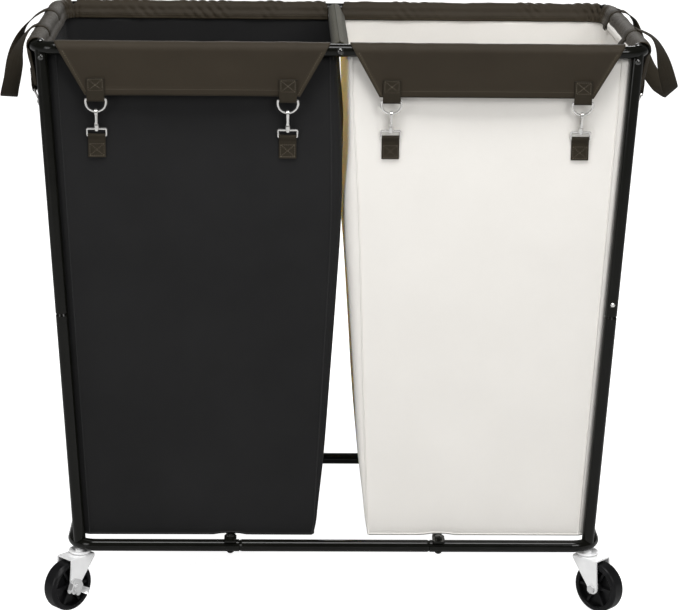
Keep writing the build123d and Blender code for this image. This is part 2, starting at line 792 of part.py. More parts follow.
# D ring: straight bar at the top, bow below
with BuildPart() as ring_form:
    with BuildSketch(Plane.XZ.offset(-wire / 2)):
        bow_r = (ring_width - wire) / 2
        for grow, mode in ((wire / 2, Mode.ADD), (-wire / 2, Mode.SUBTRACT)):
            with BuildLine():
                half = bow_r + grow
                Line((-half, grow), (half, grow))
                ThreePointArc((half, grow), (0, -ring_drop - grow), (-half, grow))
            make_face(mode=mode)
    extrude(amount=wire)
    chamfer(ring_form.edges().filter_by(Plane.XZ), wire / 4)

# Loop: two bars, the upper one with an eye that the hook's swivel turns in
loop_top = -ring_drop - hook_length
swivel_r = swivel_d / 2
with BuildPart() as loop_form:
    with BuildSketch(Plane.XZ.offset(-wire / 2)):
        with Locations((0, loop_top - loop_height / 2)):
            RectangleRounded(loop_width, loop_height + wire, wire)
            Rectangle(loop_width - 2 * wire, loop_height - wire, mode=Mode.SUBTRACT)
    extrude(amount=wire)
    chamfer(loop_form.edges().filter_by(Plane.XZ), wire / 4)
    with Locations((0, 0, loop_top)):
        Cylinder(swivel_r + wire / 2 + seat, wire)
        Cylinder(swivel_r + seat, 2 * wire, mode=Mode.SUBTRACT)

# Snap hook in the YZ plane: spine towards the bag, nose and gate outwards
crest = -ring_drop + wire / 2 + seat + gate_thick
base_top = loop_top + wire / 2 + hook_base
base_low = loop_top + wire / 2 + hook_collar
half_hook = hook_width / 2
nose_end = crest - hook_mouth
pivot_y = half_hook - gate_thick / 2
pivot_z = base_low + gate_rise
cheek_top = pivot_z + gate_thick
with BuildPart() as hook_form:
    with BuildSketch(Plane.YZ.offset(-hook_thick / 2)):
        with Locations((0, (crest + base_low) / 2)):
            RectangleRounded(hook_width, crest - base_low, half_hook * 0.95)
        with Locations((0, (crest - gate_thick + base_top) / 2)):
            RectangleRounded(
                hook_width - 2 * gate_thick, crest - gate_thick - base_top, half_hook / 2, mode=Mode.SUBTRACT
            )
        with Locations((half_hook, (nose_end + cheek_top) / 2)):
            Rectangle(2 * gate_thick + seat, nose_end - cheek_top, mode=Mode.SUBTRACT)
    extrude(amount=hook_thick)
    with Locations((0, pivot_y, pivot_z - gate_thick / 2 - seat)):
        Box(
            gate_thick + 2 * seat, 4 * gate_thick, 2 * gate_thick,
            align=(Align.CENTER, Align.CENTER, Align.MIN), mode=Mode.SUBTRACT,
        )
    with Locations((0, pivot_y, pivot_z)):
        Cylinder(gate_pin_d / 2 + slip, 2 * hook_thick, rotation=(0, 90, 0), mode=Mode.SUBTRACT)
    with BuildSketch(Plane.XY.offset(base_low + 1)):
        Circle(hook_collar_d / 2)
    extrude(amount=-1 - (base_low - loop_top - wire / 2 - seat))
    with BuildSketch(Plane.XY.offset(loop_top + wire / 2 + 2)):
        Circle(swivel_r)
    extrude(amount=-wire - 2 - 2 * seat)
    with BuildSketch(Plane.XY.offset(loop_top - wire / 2 - seat)):
        Circle(swivel_head_d / 2)
    extrude(amount=-swivel_head_h)

# Gate: a bar on a cross pin, which closes the hook against its nose
with BuildPart() as gate_form:
    with BuildSketch(Plane.YZ.offset(-gate_thick / 2)):
        with Locations((pivot_y, (nose_end - seat + pivot_z) / 2)):
            Rectangle(gate_thick, nose_end - seat - pivot_z)
        with Locations((pivot_y, pivot_z)):
            Circle(gate_thick / 2)
    extrude(amount=gate_thick)
    with Locations((0, pivot_y, pivot_z)):
        Cylinder(gate_pin_d / 2, hook_thick, rotation=(0, 90, 0))

for name, form, frames in (
    ("flap_straps", upper_strap, upper_frames),
    ("d_rings", ring_form.part, chain_frames),
    ("snap_hooks", hook_form.part, chain_frames),
    ("swivel_loops", loop_form.part, chain_frames),
    ("bag_straps", lower_strap, lower_frames),
    *[(f"hook_gates_{place}", gate_form.part, walls[place][1]) for place in walls],
):
    with BuildPart() as group:
        with Locations(*frames):
            add(form)
    save(group.part, name)

# Handles: webbing sewn down on top of a side rail's flap, hanging outwards as a U
hang = radians(handle_lean)
arc_in = flap_out_r + cloth_room
arc_out = arc_in + handle_thick
start_angle = radians(handle_start)
mid_angle = (start_angle + hang) / 2
handle_down = Vector(sin(hang), -cos(hang))


def round_rail(radius, angle):
    return Vector(radius * cos(angle), radius * sin(angle))


for side in (-1, 1):
    outward = Vector(side, 0, 0)
    along = outward.cross(up).Y
    low = handle_front - handle_width / 2
    high = handle_back + handle_width / 2
    with BuildPart() as handle:
        for first, last, begin in (
            (low, low + handle_width, 0),
            (high - handle_width, high, 0),
            (low, high, handle_length - handle_width),
        ):
            start = first if along > 0 else last
            with BuildSketch(wall_plane(Vector(side * top_half_width, start, top_height), outward)):
                with BuildLine():
                    inner = round_rail(arc_in, hang)
                    outer = round_rail(arc_out, hang)
                    end = handle_down * handle_length
                    if begin == 0:
                        ThreePointArc(
                            round_rail(arc_in, start_angle), round_rail(arc_in, mid_angle), inner
                        )
                        Polyline(inner, inner + end, outer + end, outer)
                        ThreePointArc(
                            outer, round_rail(arc_out, mid_angle), round_rail(arc_out, start_angle)
                        )
                        Line(round_rail(arc_out, start_angle), round_rail(arc_in, start_angle))
                    else:
                        fold = handle_down * begin
                        Polyline(inner + fold, inner + end, outer + end, outer + fold, close=True)
                make_face()
            extrude(amount=last - first)
        chamfer(handle.edges().filter_by(lambda e: abs(e.length - handle_thick) < 1e-6).group_by(Axis.Z)[0], handle_fold)
    save(handle.part, f"handle_{side_names[side]}")
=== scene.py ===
import json
from math import atan2, cos, dist, pi, radians, sin, sqrt

import bpy
from mathutils import Matrix, Vector, noise


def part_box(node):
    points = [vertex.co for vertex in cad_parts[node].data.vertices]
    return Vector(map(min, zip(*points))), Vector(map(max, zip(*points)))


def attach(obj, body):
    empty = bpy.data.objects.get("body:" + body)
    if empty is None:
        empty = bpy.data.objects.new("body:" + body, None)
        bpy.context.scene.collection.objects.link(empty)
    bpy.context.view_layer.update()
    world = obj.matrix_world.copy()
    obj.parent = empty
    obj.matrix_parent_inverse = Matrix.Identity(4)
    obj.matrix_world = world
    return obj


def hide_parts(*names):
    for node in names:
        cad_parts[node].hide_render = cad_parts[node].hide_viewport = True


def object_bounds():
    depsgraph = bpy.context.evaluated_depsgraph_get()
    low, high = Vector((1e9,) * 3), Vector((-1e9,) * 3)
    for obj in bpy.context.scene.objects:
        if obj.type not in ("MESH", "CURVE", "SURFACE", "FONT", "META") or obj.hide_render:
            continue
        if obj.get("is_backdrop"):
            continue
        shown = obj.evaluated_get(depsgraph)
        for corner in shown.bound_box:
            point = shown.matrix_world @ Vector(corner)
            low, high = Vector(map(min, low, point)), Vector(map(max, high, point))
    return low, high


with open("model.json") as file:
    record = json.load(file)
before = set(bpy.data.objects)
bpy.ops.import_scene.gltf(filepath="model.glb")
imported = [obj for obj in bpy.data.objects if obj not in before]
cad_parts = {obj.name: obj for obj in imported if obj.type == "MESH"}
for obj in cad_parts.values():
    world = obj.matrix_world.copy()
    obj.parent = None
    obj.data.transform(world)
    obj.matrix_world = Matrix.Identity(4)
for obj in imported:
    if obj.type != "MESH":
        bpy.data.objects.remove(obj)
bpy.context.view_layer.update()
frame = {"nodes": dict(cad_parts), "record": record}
scene = bpy.context.scene

# Sizes in metres, read from the frame where it has them

MM = 0.001
RIGHT, BACK, UP = Vector((1, 0, 0)), Vector((0, 1, 0)), Vector((0, 0, 1))
ENDS = {"left": -1, "right": 1}

ring_low, ring_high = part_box("top_end_right")
TUBE_R = (ring_high.z - ring_low.z) / 2
RAIL_Z = ring_high.z - TUBE_R
HALF_WIDTH = ring_high.x - TUBE_R
HALF_DEPTH = ring_high.y - TUBE_R
CORNER_R = 35 * MM  # middle line of the ring's corner bends
BAR_R = (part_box("centre_bar")[1].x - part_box("centre_bar")[0].x) / 2

bag_low, bag_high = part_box("bag_ivory")
BAG_BOTTOM, BAG_TOP = bag_low.z, bag_high.z
BAG_OUTER_BOTTOM, BAG_OUTER_TOP = 366 * MM, bag_high.x
BAG_DEPTH_BOTTOM, BAG_DEPTH_TOP = 184 * MM, bag_high.y
CLOTH = 1.3 * MM
SEAM_R, SEAM_SIDES = 1.0 * MM, 6

FLAP_R = TUBE_R + 1.4 * MM  # middle of the cloth that goes round a rail
END_FLAP_R = FLAP_R + 0.8 * MM
FLAP_IN = 15 * MM  # cloth below the rail's middle, inside
FLAP_EAR = 15 * MM  # how much further it goes round a rear corner there
CENTRE_EAR = 4 * MM  # the same towards the centre bar
FLAP_STEP = 3.4 * MM  # how far it stands in, to pass inside the bag's upper edge
FLAP_DROP = 65 * MM  # from the rail's middle down to the hem
FLAP_LEAN = radians(5)
FLAP_INSET = 42 * MM  # how far each slanted edge runs in
HEM = 9.5 * MM
HEM_STITCH, INNER_STITCH, SIDE_STITCH = 9 * MM, 6 * MM, 5.6 * MM  # rows of stitches, from the cloth's edges
SIDE_HEM = 7.5 * MM  # folded band along a flap's slanted edges
EDGE_CURL = 6.3 * MM  # part of it that turns in on an end flap's front edge
FLAP_FROM = 14 * MM  # from the middle of the frame
FLAP_TO = {"front": 400 * MM, "rear": 417 * MM}  # along the rail, round the corner's bend at the rear
END_FLAP_TO = (179 * MM, 187 * MM)  # the same at the ends, to the front and to the rear
BAG_UP = 11 * MM  # how far the right bag's own cloth shows above its upper edge
BAG_UP_TO = 102 * MM  # where that stops, short of the rear handle band
REAR_LEFT = 16 * MM  # how much further the left end flap goes round, and how much shorter the rear one is

STRAP_W = 25 * MM
STRAP_T = 1.4 * MM
STRAP_SEWN = 25 * MM  # part of an upper strap that lies on its flap
STRAP_FREE = 6 * MM  # from the flap's hem to the bar of the D ring
BAG_STRAP = 31 * MM  # lower strap, from the loop's lower bar down
BAG_STRAP_GAP = 4 * MM  # part of it above where it lies on the bag
WIRE = 2.8 * MM
EYE = WIRE / 2 + STRAP_T / 2 + 0.35 * MM  # turn of a strap round a wire
CHAIN = 56.2 * MM  # from the bar of the D ring to the loop's lower bar
FRONT_HOOKS = (73 * MM, 343 * MM)
END_HOOK = 120 * MM

# Places of the frame's own hook chain
CAD_FLAP_R = TUBE_R + 1.9 * MM
CAD_BAR_OFF = 0.8 * MM
CAD_EYE_OFF = 3.58 * MM


# Shader node groups


class Nodes:
    """Short calls for building one node tree."""

    def __init__(self, tree):
        self.tree = tree

    def add(self, kind, **settings):
        node = self.tree.nodes.new(kind)
        for name, value in settings.items():
            if name in node.inputs:
                node.inputs[name].default_value = value
            else:
                setattr(node, name, value)
        return node

    def link(self, value, socket):
        """A number or another node's output, into a socket."""
        if isinstance(value, (int, float)):
            socket.default_value = value
        else:
            self.tree.links.new(value, socket)

    def math(self, operation, *values):
        node = self.add("ShaderNodeMath", operation=operation)
        for value, socket in zip(values, node.inputs):
            self.link(value, socket)
        return node.outputs[0]

    def sum(self, a, share_a, b, share_b):
        return self.math("ADD", self.math("MULTIPLY", a, share_a), self.math("MULTIPLY", b, share_b))


def group(name, outputs, **sizes):
    """New shader group that is given a place and sizes, as (tree, nodes, given sockets, sockets to fill)."""
    tree = bpy.data.node_groups.new(name, "ShaderNodeTree")
    tree.interface.new_socket("Place", in_out="INPUT", socket_type="NodeSocketVector")
    for label, value in sizes.items():
        tree.interface.new_socket(label, in_out="INPUT", socket_type="NodeSocketFloat").default_value = value
    for label in outputs:
        tree.interface.new_socket(label, in_out="OUTPUT", socket_type="NodeSocketFloat")
    nodes = Nodes(tree)
    return tree, nodes, nodes.add("NodeGroupInput").outputs, nodes.add("NodeGroupOutput").inputs


def weave_group():
    """Plain weave of crossing threads, from a place on the cloth in metres."""
    tree, n, given, out = group("plain_weave", ("Height", "Gap"), Thread=0.8 * MM)
    split = n.add("ShaderNodeSeparateXYZ")
    n.link(given["Place"], split.inputs[0])
    turns = [n.math("MULTIPLY", n.math("DIVIDE", split.outputs[k], given["Thread"]), pi) for k in (0, 1)]
    height = n.math("ABSOLUTE", n.math("MULTIPLY", *(n.math("SINE", turn) for turn in turns)))
    n.link(height, out["Height"])
    n.link(n.math("POWER", n.math("SUBTRACT", 1, height), 6), out["Gap"])
    return tree


def rib_group():
    """Slanted ribs of woven webbing."""
    tree, n, given, out = group("webbing_ribs", ("Height",), Rib=2.2 * MM)
    split = n.add("ShaderNodeSeparateXYZ")
    n.link(given["Place"], split.inputs[0])
    zigzag = n.math("PINGPONG", split.outputs[0], 2.5 * MM)
    slant = n.math("ADD", split.outputs[1], zigzag)
    wave = n.math("SINE", n.math("MULTIPLY", n.math("DIVIDE", slant, given["Rib"]), 2 * pi))
    n.link(n.math("ADD", n.math("MULTIPLY", wave, 0.5), 0.5), out["Height"])
    return tree


def mottle_group():
    """Soft uneven tone over a surface, in two sizes, both from 0 to 1."""
    tree, n, given, out = group("soft_mottle", ("Coarse tone", "Fine tone"), Coarse=12.0, Fine=240.0)
    for size, detail in (("Coarse", 3.0), ("Fine", 5.0)):
        cloud = n.add("ShaderNodeTexNoise", Detail=detail, Roughness=0.6)
        n.link(given["Place"], cloud.inputs["Vector"])
        n.link(given[size], cloud.inputs["Scale"])
        n.link(cloud.outputs["Fac"], out[f"{size} tone"])
    return tree


WEAVE = weave_group()
RIBS = rib_group()
MOTTLE = mottle_group()


# Materials


def material(name, settings):
    """New material, as (material, nodes, its shader's sockets)."""
    mat = bpy.data.materials.new(name)
    mat.use_nodes = True
    sockets = mat.node_tree.nodes["Principled BSDF"].inputs
    for label, value in settings.items():
        sockets[label].default_value = value
    return mat, Nodes(mat.node_tree), sockets


def use(n, tree, **links):
    """Outputs of a shader group, with values or sockets for its inputs."""
    node = n.add("ShaderNodeGroup", node_tree=tree)
    for name, value in links.items():
        n.link(value, node.inputs[name])
    return node.outputs


def two_tone(n, factor, low, high, start, end):
    """Colour that runs from low to high as factor goes from start to end."""
    ramp = n.add("ShaderNodeValToRGB")
    for stop, position, colour in zip(ramp.color_ramp.elements, (start, end), (low, high)):
        stop.position, stop.color = position, (*colour, 1)
    n.link(factor, ramp.inputs[0])
    return ramp.outputs[0]


def spread(n, factor, low, high):
    """Value from low to high as factor goes from 0 to 1."""
    scale = n.add("ShaderNodeMapRange")
    for label, value in (("Value", factor), ("To Min", low), ("To Max", high)):
        n.link(value, scale.inputs[label])
    return scale.outputs[0]


def bump(n, sockets, height, distance, strength):
    node = n.add("ShaderNodeBump", Strength=strength, Distance=distance)
    n.link(height, node.inputs["Height"])
    n.link(node.outputs[0], sockets["Normal"])


GLOW = (1.0, 0.42, 0.12)  # how far red, green and blue light goes in cloth that lets it through
GLOW_RUN = 75 * MM
GAP_SHADE = (0.72, 0.7, 0.68, 1)


def woven(name, dark, light, thread, sheen, roughness=0.85, through=0.0):
    """Woven cloth: threads from its flat layout, uneven tone, soft sheen, and some light let through."""
    mat, n, sockets = material(name, {
        "Sheen Weight": sheen,
        "Sheen Roughness": 0.4,
        "Specular IOR Level": 0.2,
        "Subsurface Weight": through,
        "Subsurface Radius": GLOW,
        "Subsurface Scale": GLOW_RUN,
    })
    place = n.add("ShaderNodeTexCoord").outputs
    threads = use(n, WEAVE, Place=place["UV"], Thread=thread)
    tone = use(n, MOTTLE, Place=place["Object"], Coarse=9.0, Fine=420.0)
    mixed = n.sum(tone["Coarse tone"], 0.75, tone["Fine tone"], 0.25)
    shade = n.add("ShaderNodeMix", data_type="RGBA", blend_type="MULTIPLY")
    shade.inputs["B"].default_value = GAP_SHADE
    n.link(two_tone(n, mixed, dark, light, 0.3, 0.7), shade.inputs["A"])
    n.link(n.math("MULTIPLY", threads["Gap"], 0.5), shade.inputs["Factor"])
    n.link(shade.outputs["Result"], sockets["Base Color"])
    n.link(spread(n, tone["Fine tone"], roughness - 0.08, roughness + 0.08), sockets["Roughness"])
    bump(n, sockets, n.sum(threads["Height"], 0.6, tone["Fine tone"], 0.4), 0.25 * MM, 0.6)
    return mat


def ribbed(name, dark, light):
    """Ribbed webbing with a slight sheen."""
    mat, n, sockets = material(name, {"Sheen Weight": 0.03, "Specular IOR Level": 0.15})
    place = n.add("ShaderNodeTexCoord").outputs
    ribs = use(n, RIBS, Place=place["UV"], Rib=2.0 * MM)
    tone = use(n, MOTTLE, Place=place["Object"], Coarse=30.0, Fine=600.0)
    mixed = n.sum(ribs["Height"], 0.6, tone["Fine tone"], 0.4)
    n.link(two_tone(n, mixed, dark, light, 0.2, 0.9), sockets["Base Color"])
    n.link(spread(n, tone["Coarse tone"], 0.62, 0.8), sockets["Roughness"])
    bump(n, sockets, ribs["Height"], 0.35 * MM, 0.7)
    return mat


def hard(name, dark, light, metallic, gloss, shine, grain=0.03 * MM):
    """Hard finish whose tone and roughness vary a little over the surface."""
    mat, n, sockets = material(name, {"Metallic": metallic, "Specular IOR Level": shine})
    place = n.add("ShaderNodeTexCoord").outputs
    tone = use(n, MOTTLE, Place=place["Object"], Coarse=25.0, Fine=900.0)
    n.link(two_tone(n, tone["Coarse tone"], dark, light, 0.3, 0.7), sockets["Base Color"])
    n.link(spread(n, tone["Coarse tone"], *gloss), sockets["Roughness"])
    bump(n, sockets, tone["Fine tone"], grain, 0.5)
    return mat


# Hard finishes: dark and light tone, share of metal, least and most roughness, strength of reflections
ENAMEL = hard("black_enamel", (0.0028, 0.0029, 0.002), (0.0045, 0.0045, 0.0034), 0.0, (0.12, 0.18), 0.22)
SCREWS = hard("black_screws", (0.008, 0.008, 0.007), (0.013, 0.013, 0.011), 0.0, (0.08, 0.14), 1.0)
ZINC = hard("zinc_plate", (0.88, 0.88, 0.88), (0.96, 0.96, 0.96), 0.25, (0.18, 0.28), 0.7)
BARE_ZINC = hard("bare_zinc", (0.6, 0.6, 0.6), (0.72, 0.72, 0.72), 0.5, (0.12, 0.2), 0.9)
NICKEL = hard("nickel", (0.66, 0.65, 0.63), (0.82, 0.81, 0.79), 0.75, (0.08, 0.15), 0.5)
WHEEL = hard("wheel_plastic", (0.004, 0.004, 0.0045), (0.009, 0.009, 0.0095), 0.0, (0.22, 0.36), 0.14, 0.08 * MM)
PLUG = hard("plug_plastic", (0.015, 0.015, 0.015), (0.022, 0.022, 0.022), 0.0, (0.5, 0.65), 0.3)

# Cloths: dark and light tone, thread, sheen
BLACK = woven("black_cloth", (0.009, 0.009, 0.0092), (0.0125, 0.0125, 0.0128), 0.7 * MM, 0.03)
# Lighter copy of the black cloth for its seams: a painted highlight
BLACK_SEAM_PAINTED_HIGHLIGHT = woven("black_seam_painted_highlight", (0.016, 0.016, 0.0163), (0.021, 0.021, 0.0213), 0.5 * MM, 0.05)
IVORY = woven("ivory_cloth", (0.75, 0.728, 0.69), (0.775, 0.753, 0.715), 0.7 * MM, 0.1)
# Tan copy of the ivory cloth for the inner wall: painted warm glow, added to the real light let through by subsurface
IVORY_PAINTED_GLOW = woven("ivory_cloth_lit_through_painted_glow", (0.92, 0.8, 0.6), (0.94, 0.83, 0.63), 0.7 * MM, 0.1, through=1.0)
OLIVE = woven("olive_cloth", (0.0225, 0.0165, 0.0092), (0.0295, 0.0222, 0.013), 0.6 * MM, 0.06, 0.62)
# Lighter copy of the olive cloth for the flaps' hem bands: a painted highlight
OLIVE_HEM_PAINTED_HIGHLIGHT = woven("olive_hem_painted_highlight", (0.031, 0.0235, 0.0138), (0.04, 0.031, 0.019), 0.6 * MM, 0.08, 0.62)
SLEEVE = woven("sleeve_cloth", (0.035, 0.0325, 0.019), (0.0475, 0.0435, 0.027), 0.6 * MM, 0.08, 0.7)
THREAD = woven("olive_thread", (0.115, 0.097, 0.066), (0.17, 0.145, 0.105), 0.3 * MM, 0.1)
WEBBING = ribbed("webbing", (0.016, 0.0125, 0.0072), (0.032, 0.0252, 0.0158))

FINISH = {
    "black_enamel": ENAMEL, "black_screws": SCREWS, "zinc_plate": ZINC, "nickel": NICKEL, "wheel_plastic": WHEEL,
    "plug_plastic": PLUG, "black_cloth": BLACK, "ivory_cloth": IVORY, "olive_cloth": OLIVE, "webbing": WEBBING,
}
BARE_PIECES = ("brake_lever", "caster_axle")

for entry in frame["record"]["subparts"]:
    node = frame["nodes"][entry["node"]]
    node.data.materials.clear()
    bare = entry["node"].startswith(BARE_PIECES)
    node.data.materials.append(BARE_ZINC if bare else FINISH[entry["material_slot"]])


# Mesh building


def put(name, data):
    obj = bpy.data.objects.new(name, data)
    scene.collection.objects.link(obj)
    return obj


class Form:
    """Points, faces and flat layout of one piece, filled patch by patch."""

    def __init__(self):
        self.points, self.faces, self.layout = [], [], []

    def patch(self, rows, close_rows=False, close_columns=False):
        """Quads over rows of (point, (u, v)), all of one length."""
        first = len(self.points)
        wide, high = len(rows[0]), len(rows)
        for row in rows:
            for point, place in row:
                self.points.append(point)
                self.layout.append(place)
        for r in range(high if close_rows else high - 1):
            for c in range(wide if close_columns else wide - 1):
                row, above, beside = first + r * wide, first + (r + 1) % high * wide, (c + 1) % wide
                self.faces.append((row + c, row + beside, above + beside, above + c))

    def cap(self, start, count, flip=False):
        ring = range(start, start + count)
        self.faces.append(tuple(reversed(ring) if flip else ring))

    def piece(self, name, finish, body, slot):
        mesh = bpy.data.meshes.new(name)
        mesh.from_pydata([tuple(p) for p in self.points], [], self.faces)
        layer = mesh.uv_layers.new(name="flat")
        for loop in mesh.loops:
            layer.data[loop.index].uv = self.layout[loop.vertex_index]
        mesh.polygons.foreach_set("use_smooth", [True] * len(mesh.polygons))
        mesh.materials.append(finish)
        obj = put(name, mesh)
        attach(obj, body)
        return obj


def thicken(obj, thickness, offset=0.0):
    solid = obj.modifiers.new("cloth_thickness", "SOLIDIFY")
    solid.thickness = thickness
    solid.offset = offset


def soft_noise(point, size, seed):
    return noise.noise(point / size + Vector((seed, 3.1 * seed, 7.7 * seed)))


def waves(point, sizes, seed):
    """Sum of soft waves, each with its height, its length and its own part of the seed."""
    return sum(height * soft_noise(point, length, seed + own) for height, length, own in sizes)


def ease(x, start, end):
    """0 before start, 1 after end, smooth between."""
    t = min(max((x - start) / (end - start), 0), 1)
    return t * t * (3 - 2 * t)


def curve(p0, p1, p2, p3, t):
    """Rounded curve from p1 to p2, with p0 before and p3 after them, at t from 0 to 1."""
    bend, twist = 2 * p0 - 5 * p1 + 4 * p2 - p3, 3 * p1 - p0 - 3 * p2 + p3
    return 0.5 * (2 * p1 + (p2 - p0) * t + bend * t * t + twist * t**3)


def lengths(points):
    """How far along a line of points each of them lies."""
    runs = [0.0]
    for before, after in zip(points, points[1:]):
        runs.append(runs[-1] + dist(before, after))
    return runs


def ribbon(form, centres, acrosses, width, thickness):
    """Flat band along centres, with a rounded edge, its width along acrosses."""
    w, t = width / 2, thickness / 2
    edge = 0.7 * t
    half = [(-w, edge - t), (-w, t - edge), (edge - w, t), (0, t), (w - edge, t)]
    section = half + [(-a, -b) for a, b in half]
    rows = []
    for i, (centre, run) in enumerate(zip(centres, lengths(centres))):
        before = centres[max(i - 1, 0)]
        after = centres[min(i + 1, len(centres) - 1)]
        forward = (after - before).normalized()
        across = (acrosses[i] - forward * acrosses[i].dot(forward)).normalized()
        face = forward.cross(across).normalized()
        rows.append([(centre + across * a + face * b, (a, run)) for a, b in section])
    start = len(form.points)
    form.patch(rows, close_columns=True)
    form.cap(start, len(section))
    form.cap(start + (len(rows) - 1) * len(section), len(section), True)


def tube(form, centres, radius, sides, closed=False):
    """Round cord along centres."""
    rows, run = [], 0.0
    count = len(centres)
    angles = [2 * pi * k / sides for k in range(sides)]
    side = None
    for i, centre in enumerate(centres):
        before = centres[(i - 1) % count] if closed or i else centre
        after = centres[(i + 1) % count] if closed or i < count - 1 else centre
        forward = (after - before).normalized()
        side = side or forward.orthogonal()
        side = (side - forward * side.dot(forward)).normalized()
        other = forward.cross(side)
        rows.append([(centre + (side * cos(a) + other * sin(a)) * radius, (radius * a, run)) for a in angles])
        run += (after - centre).length
    start = len(form.points)
    form.patch(rows, close_rows=closed, close_columns=True)
    if not closed:
        form.cap(start, sides)
        form.cap(start + (count - 1) * sides, sides, True)


def stitch(form, middle, along, out, length=2.6 * MM, width=0.6 * MM, height=0.35 * MM):
    """One stitch: a small spindle of thread lying on the cloth."""
    along = along.normalized()
    side = along.cross(out).normalized()
    first = len(form.points)
    far, wide, high = along * length / 2, side * width / 2, side.cross(along) * height
    form.points += [middle - far - high, middle + wide, middle + high]
    form.points += [middle - wide, middle - high, middle + far - high]
    form.layout += [(0, 0)] * 6
    for a, b in ((1, 2), (2, 3), (3, 4), (4, 1)):
        form.faces += [(first, first + b, first + a), (first + 5, first + a, first + b)]


def stitch_run(form, points, outs, pitch=3.4 * MM, **size):
    """Stitches evenly along a line of points that lies on the cloth."""
    left = pitch / 2
    for i in range(len(points) - 1):
        step = points[i + 1] - points[i]
        long = step.length
        while left <= long:
            share = left / long
            stitch(form, points[i] + step * share, step, outs[i].lerp(outs[i + 1], share), **size)
            left += pitch
        left -= long


# Bags

CROSSBAR_AT = 154 * MM  # from the middle of the frame
BOTTOM_TURN = 3 * MM  # radius of a bag's lower edge
BEND_TOP = BAG_BOTTOM + BOTTOM_TURN
BOTTOM_SAG = 2.3 * MM  # how far the bottom hangs beside the crossbars
SAG_BESIDE, SAG_RISE = (9 * MM, 26 * MM), 60 * MM  # where that sets in beside a crossbar, and up to where it goes
BOTTOM_LIFT = 0.6 * MM  # how far the bottom panel lies above the lowest ring
BOTTOM_SHARES = (0.94, 0.8, 0.6, 0.35, 0.1)  # rings of the bottom panel, as shares of the lowest one
CORNER_DRAW = 3 * MM  # how far the inner lower corner is rounded off
CORNER_RISE = 22 * MM  # up to where that goes
OUTER_SEAM = (362.6 * MM, BAG_OUTER_TOP - 20 * MM)  # outer corner seam, at the bottom and at the top
SEAM_OUT = 0.3 * MM  # how far a seam's middle stands out of the cloth
SWELL = {"front": 3 * MM, "rear": 3 * MM, "outer": 4 * MM, "inner": 6.5 * MM}
OUTER_SWELL_ENDS, INNER_SWELL_STARTS = (0.45, 0.75), (0.7, 0.86)  # in shares of a bag's height
LOOSE_WAVES = ((1.1 * MM, 110 * MM, 0), (0.5 * MM, 45 * MM, 4))
UPRIGHT_WAVES = ((0.5 * MM, 90 * MM, 9),)
WALL_STEPS, END_STEPS, CORNER_STEPS, BEND_STEPS, LEVELS, SEAM_STEPS = 34, 30, 6, 5, 64, 60

# By height in m, in mm: from the middle of the frame to a bag's inner outline and to its inner corner seam, and from
# its outer corner seam to its outer outline
INNER_LINE = {
    -1: [(BAG_BOTTOM, 28), (0.23, 17), (0.35, 9), (0.47, 1.5), (0.60, -5), (0.70, -3.6), (BAG_TOP, 5.4)],
    1: [(BAG_BOTTOM, 47), (0.23, 34), (0.35, 25.5), (0.47, 17), (0.60, 7.8), (0.70, 14.3), (BAG_TOP, 12.1)],
}
INNER_SEAM = {
    -1: [(BAG_BOTTOM, 31), (0.35, 20), (0.60, 10), (BAG_TOP, 14)],
    1: [(BAG_BOTTOM, 48.5), (0.35, 39), (0.60, 29.5), (BAG_TOP, 17)],
}
OUTER_TURN = [(BAG_BOTTOM, 13), (0.30, 13), (0.50, 14), (0.69, 17), (BAG_TOP, 20)]


def straight(z, low, high):
    return low + (high - low) * (z - BAG_BOTTOM) / (BAG_TOP - BAG_BOTTOM)


def line_at(knots, z):
    """Place at height z on a rounded curve through knots of (height, place)."""
    pts = [knots[0]] + knots + [knots[-1]]
    z = min(max(z, knots[0][0]), knots[-1][0])
    for i in range(1, len(pts) - 2):
        if z <= pts[i + 1][0]:
            break
    t = (z - pts[i][0]) / (pts[i + 1][0] - pts[i][0])
    return curve(*(pts[i + k][1] for k in (-1, 0, 1, 2)), t)


def bag_shape(side, z):
    """Inner outline, inner seam, outer seam, outer outline and half depth of a bag at height z."""
    draw = CORNER_DRAW * (1 - ease(z - BAG_BOTTOM, 0, CORNER_RISE))
    inner = line_at(INNER_LINE[side], z) * MM + draw
    inner_seam = line_at(INNER_SEAM[side], z) * MM + draw
    outer_seam = straight(z, *OUTER_SEAM)
    outer = outer_seam + line_at(OUTER_TURN, z) * MM
    return inner, inner_seam, outer_seam, outer, straight(z, BAG_DEPTH_BOTTOM, BAG_DEPTH_TOP)


def bag_swell(side, wall, share, point):
    """How far a wall's cloth stands out from the straight line between its corners."""
    seed, level = side + 2.0, straight(point.z, 0, 1)
    span = (4 * share * (1 - share)) ** 0.8
    rise = (4 * level * (1 - level)) ** 0.7 if 0 < level < 1 else 0
    if wall == "outer":
        rise = 1 - ease(level, *OUTER_SWELL_ENDS)
    elif wall == "inner":
        rise = ease(level, *INNER_SWELL_STARTS)
    loose = waves(point, LOOSE_WAVES, seed)
    loose += waves(Vector((point.x * 3, point.y * 3, point.z * 0.4)), UPRIGHT_WAVES, seed)
    return SWELL[wall] * span * rise + loose * min(1, 6 * share * (1 - share)) * ease(level, 0, 0.06)


def sagged(point):
    """The same point, lowered as a bag's bottom hangs beside the crossbars."""
    beside = ease(abs(abs(point.x) - CROSSBAR_AT), *SAG_BESIDE)
    near = 1 - ease(point.z - BAG_BOTTOM, 0, SAG_RISE)
    return point - UP * BOTTOM_SAG * beside * near


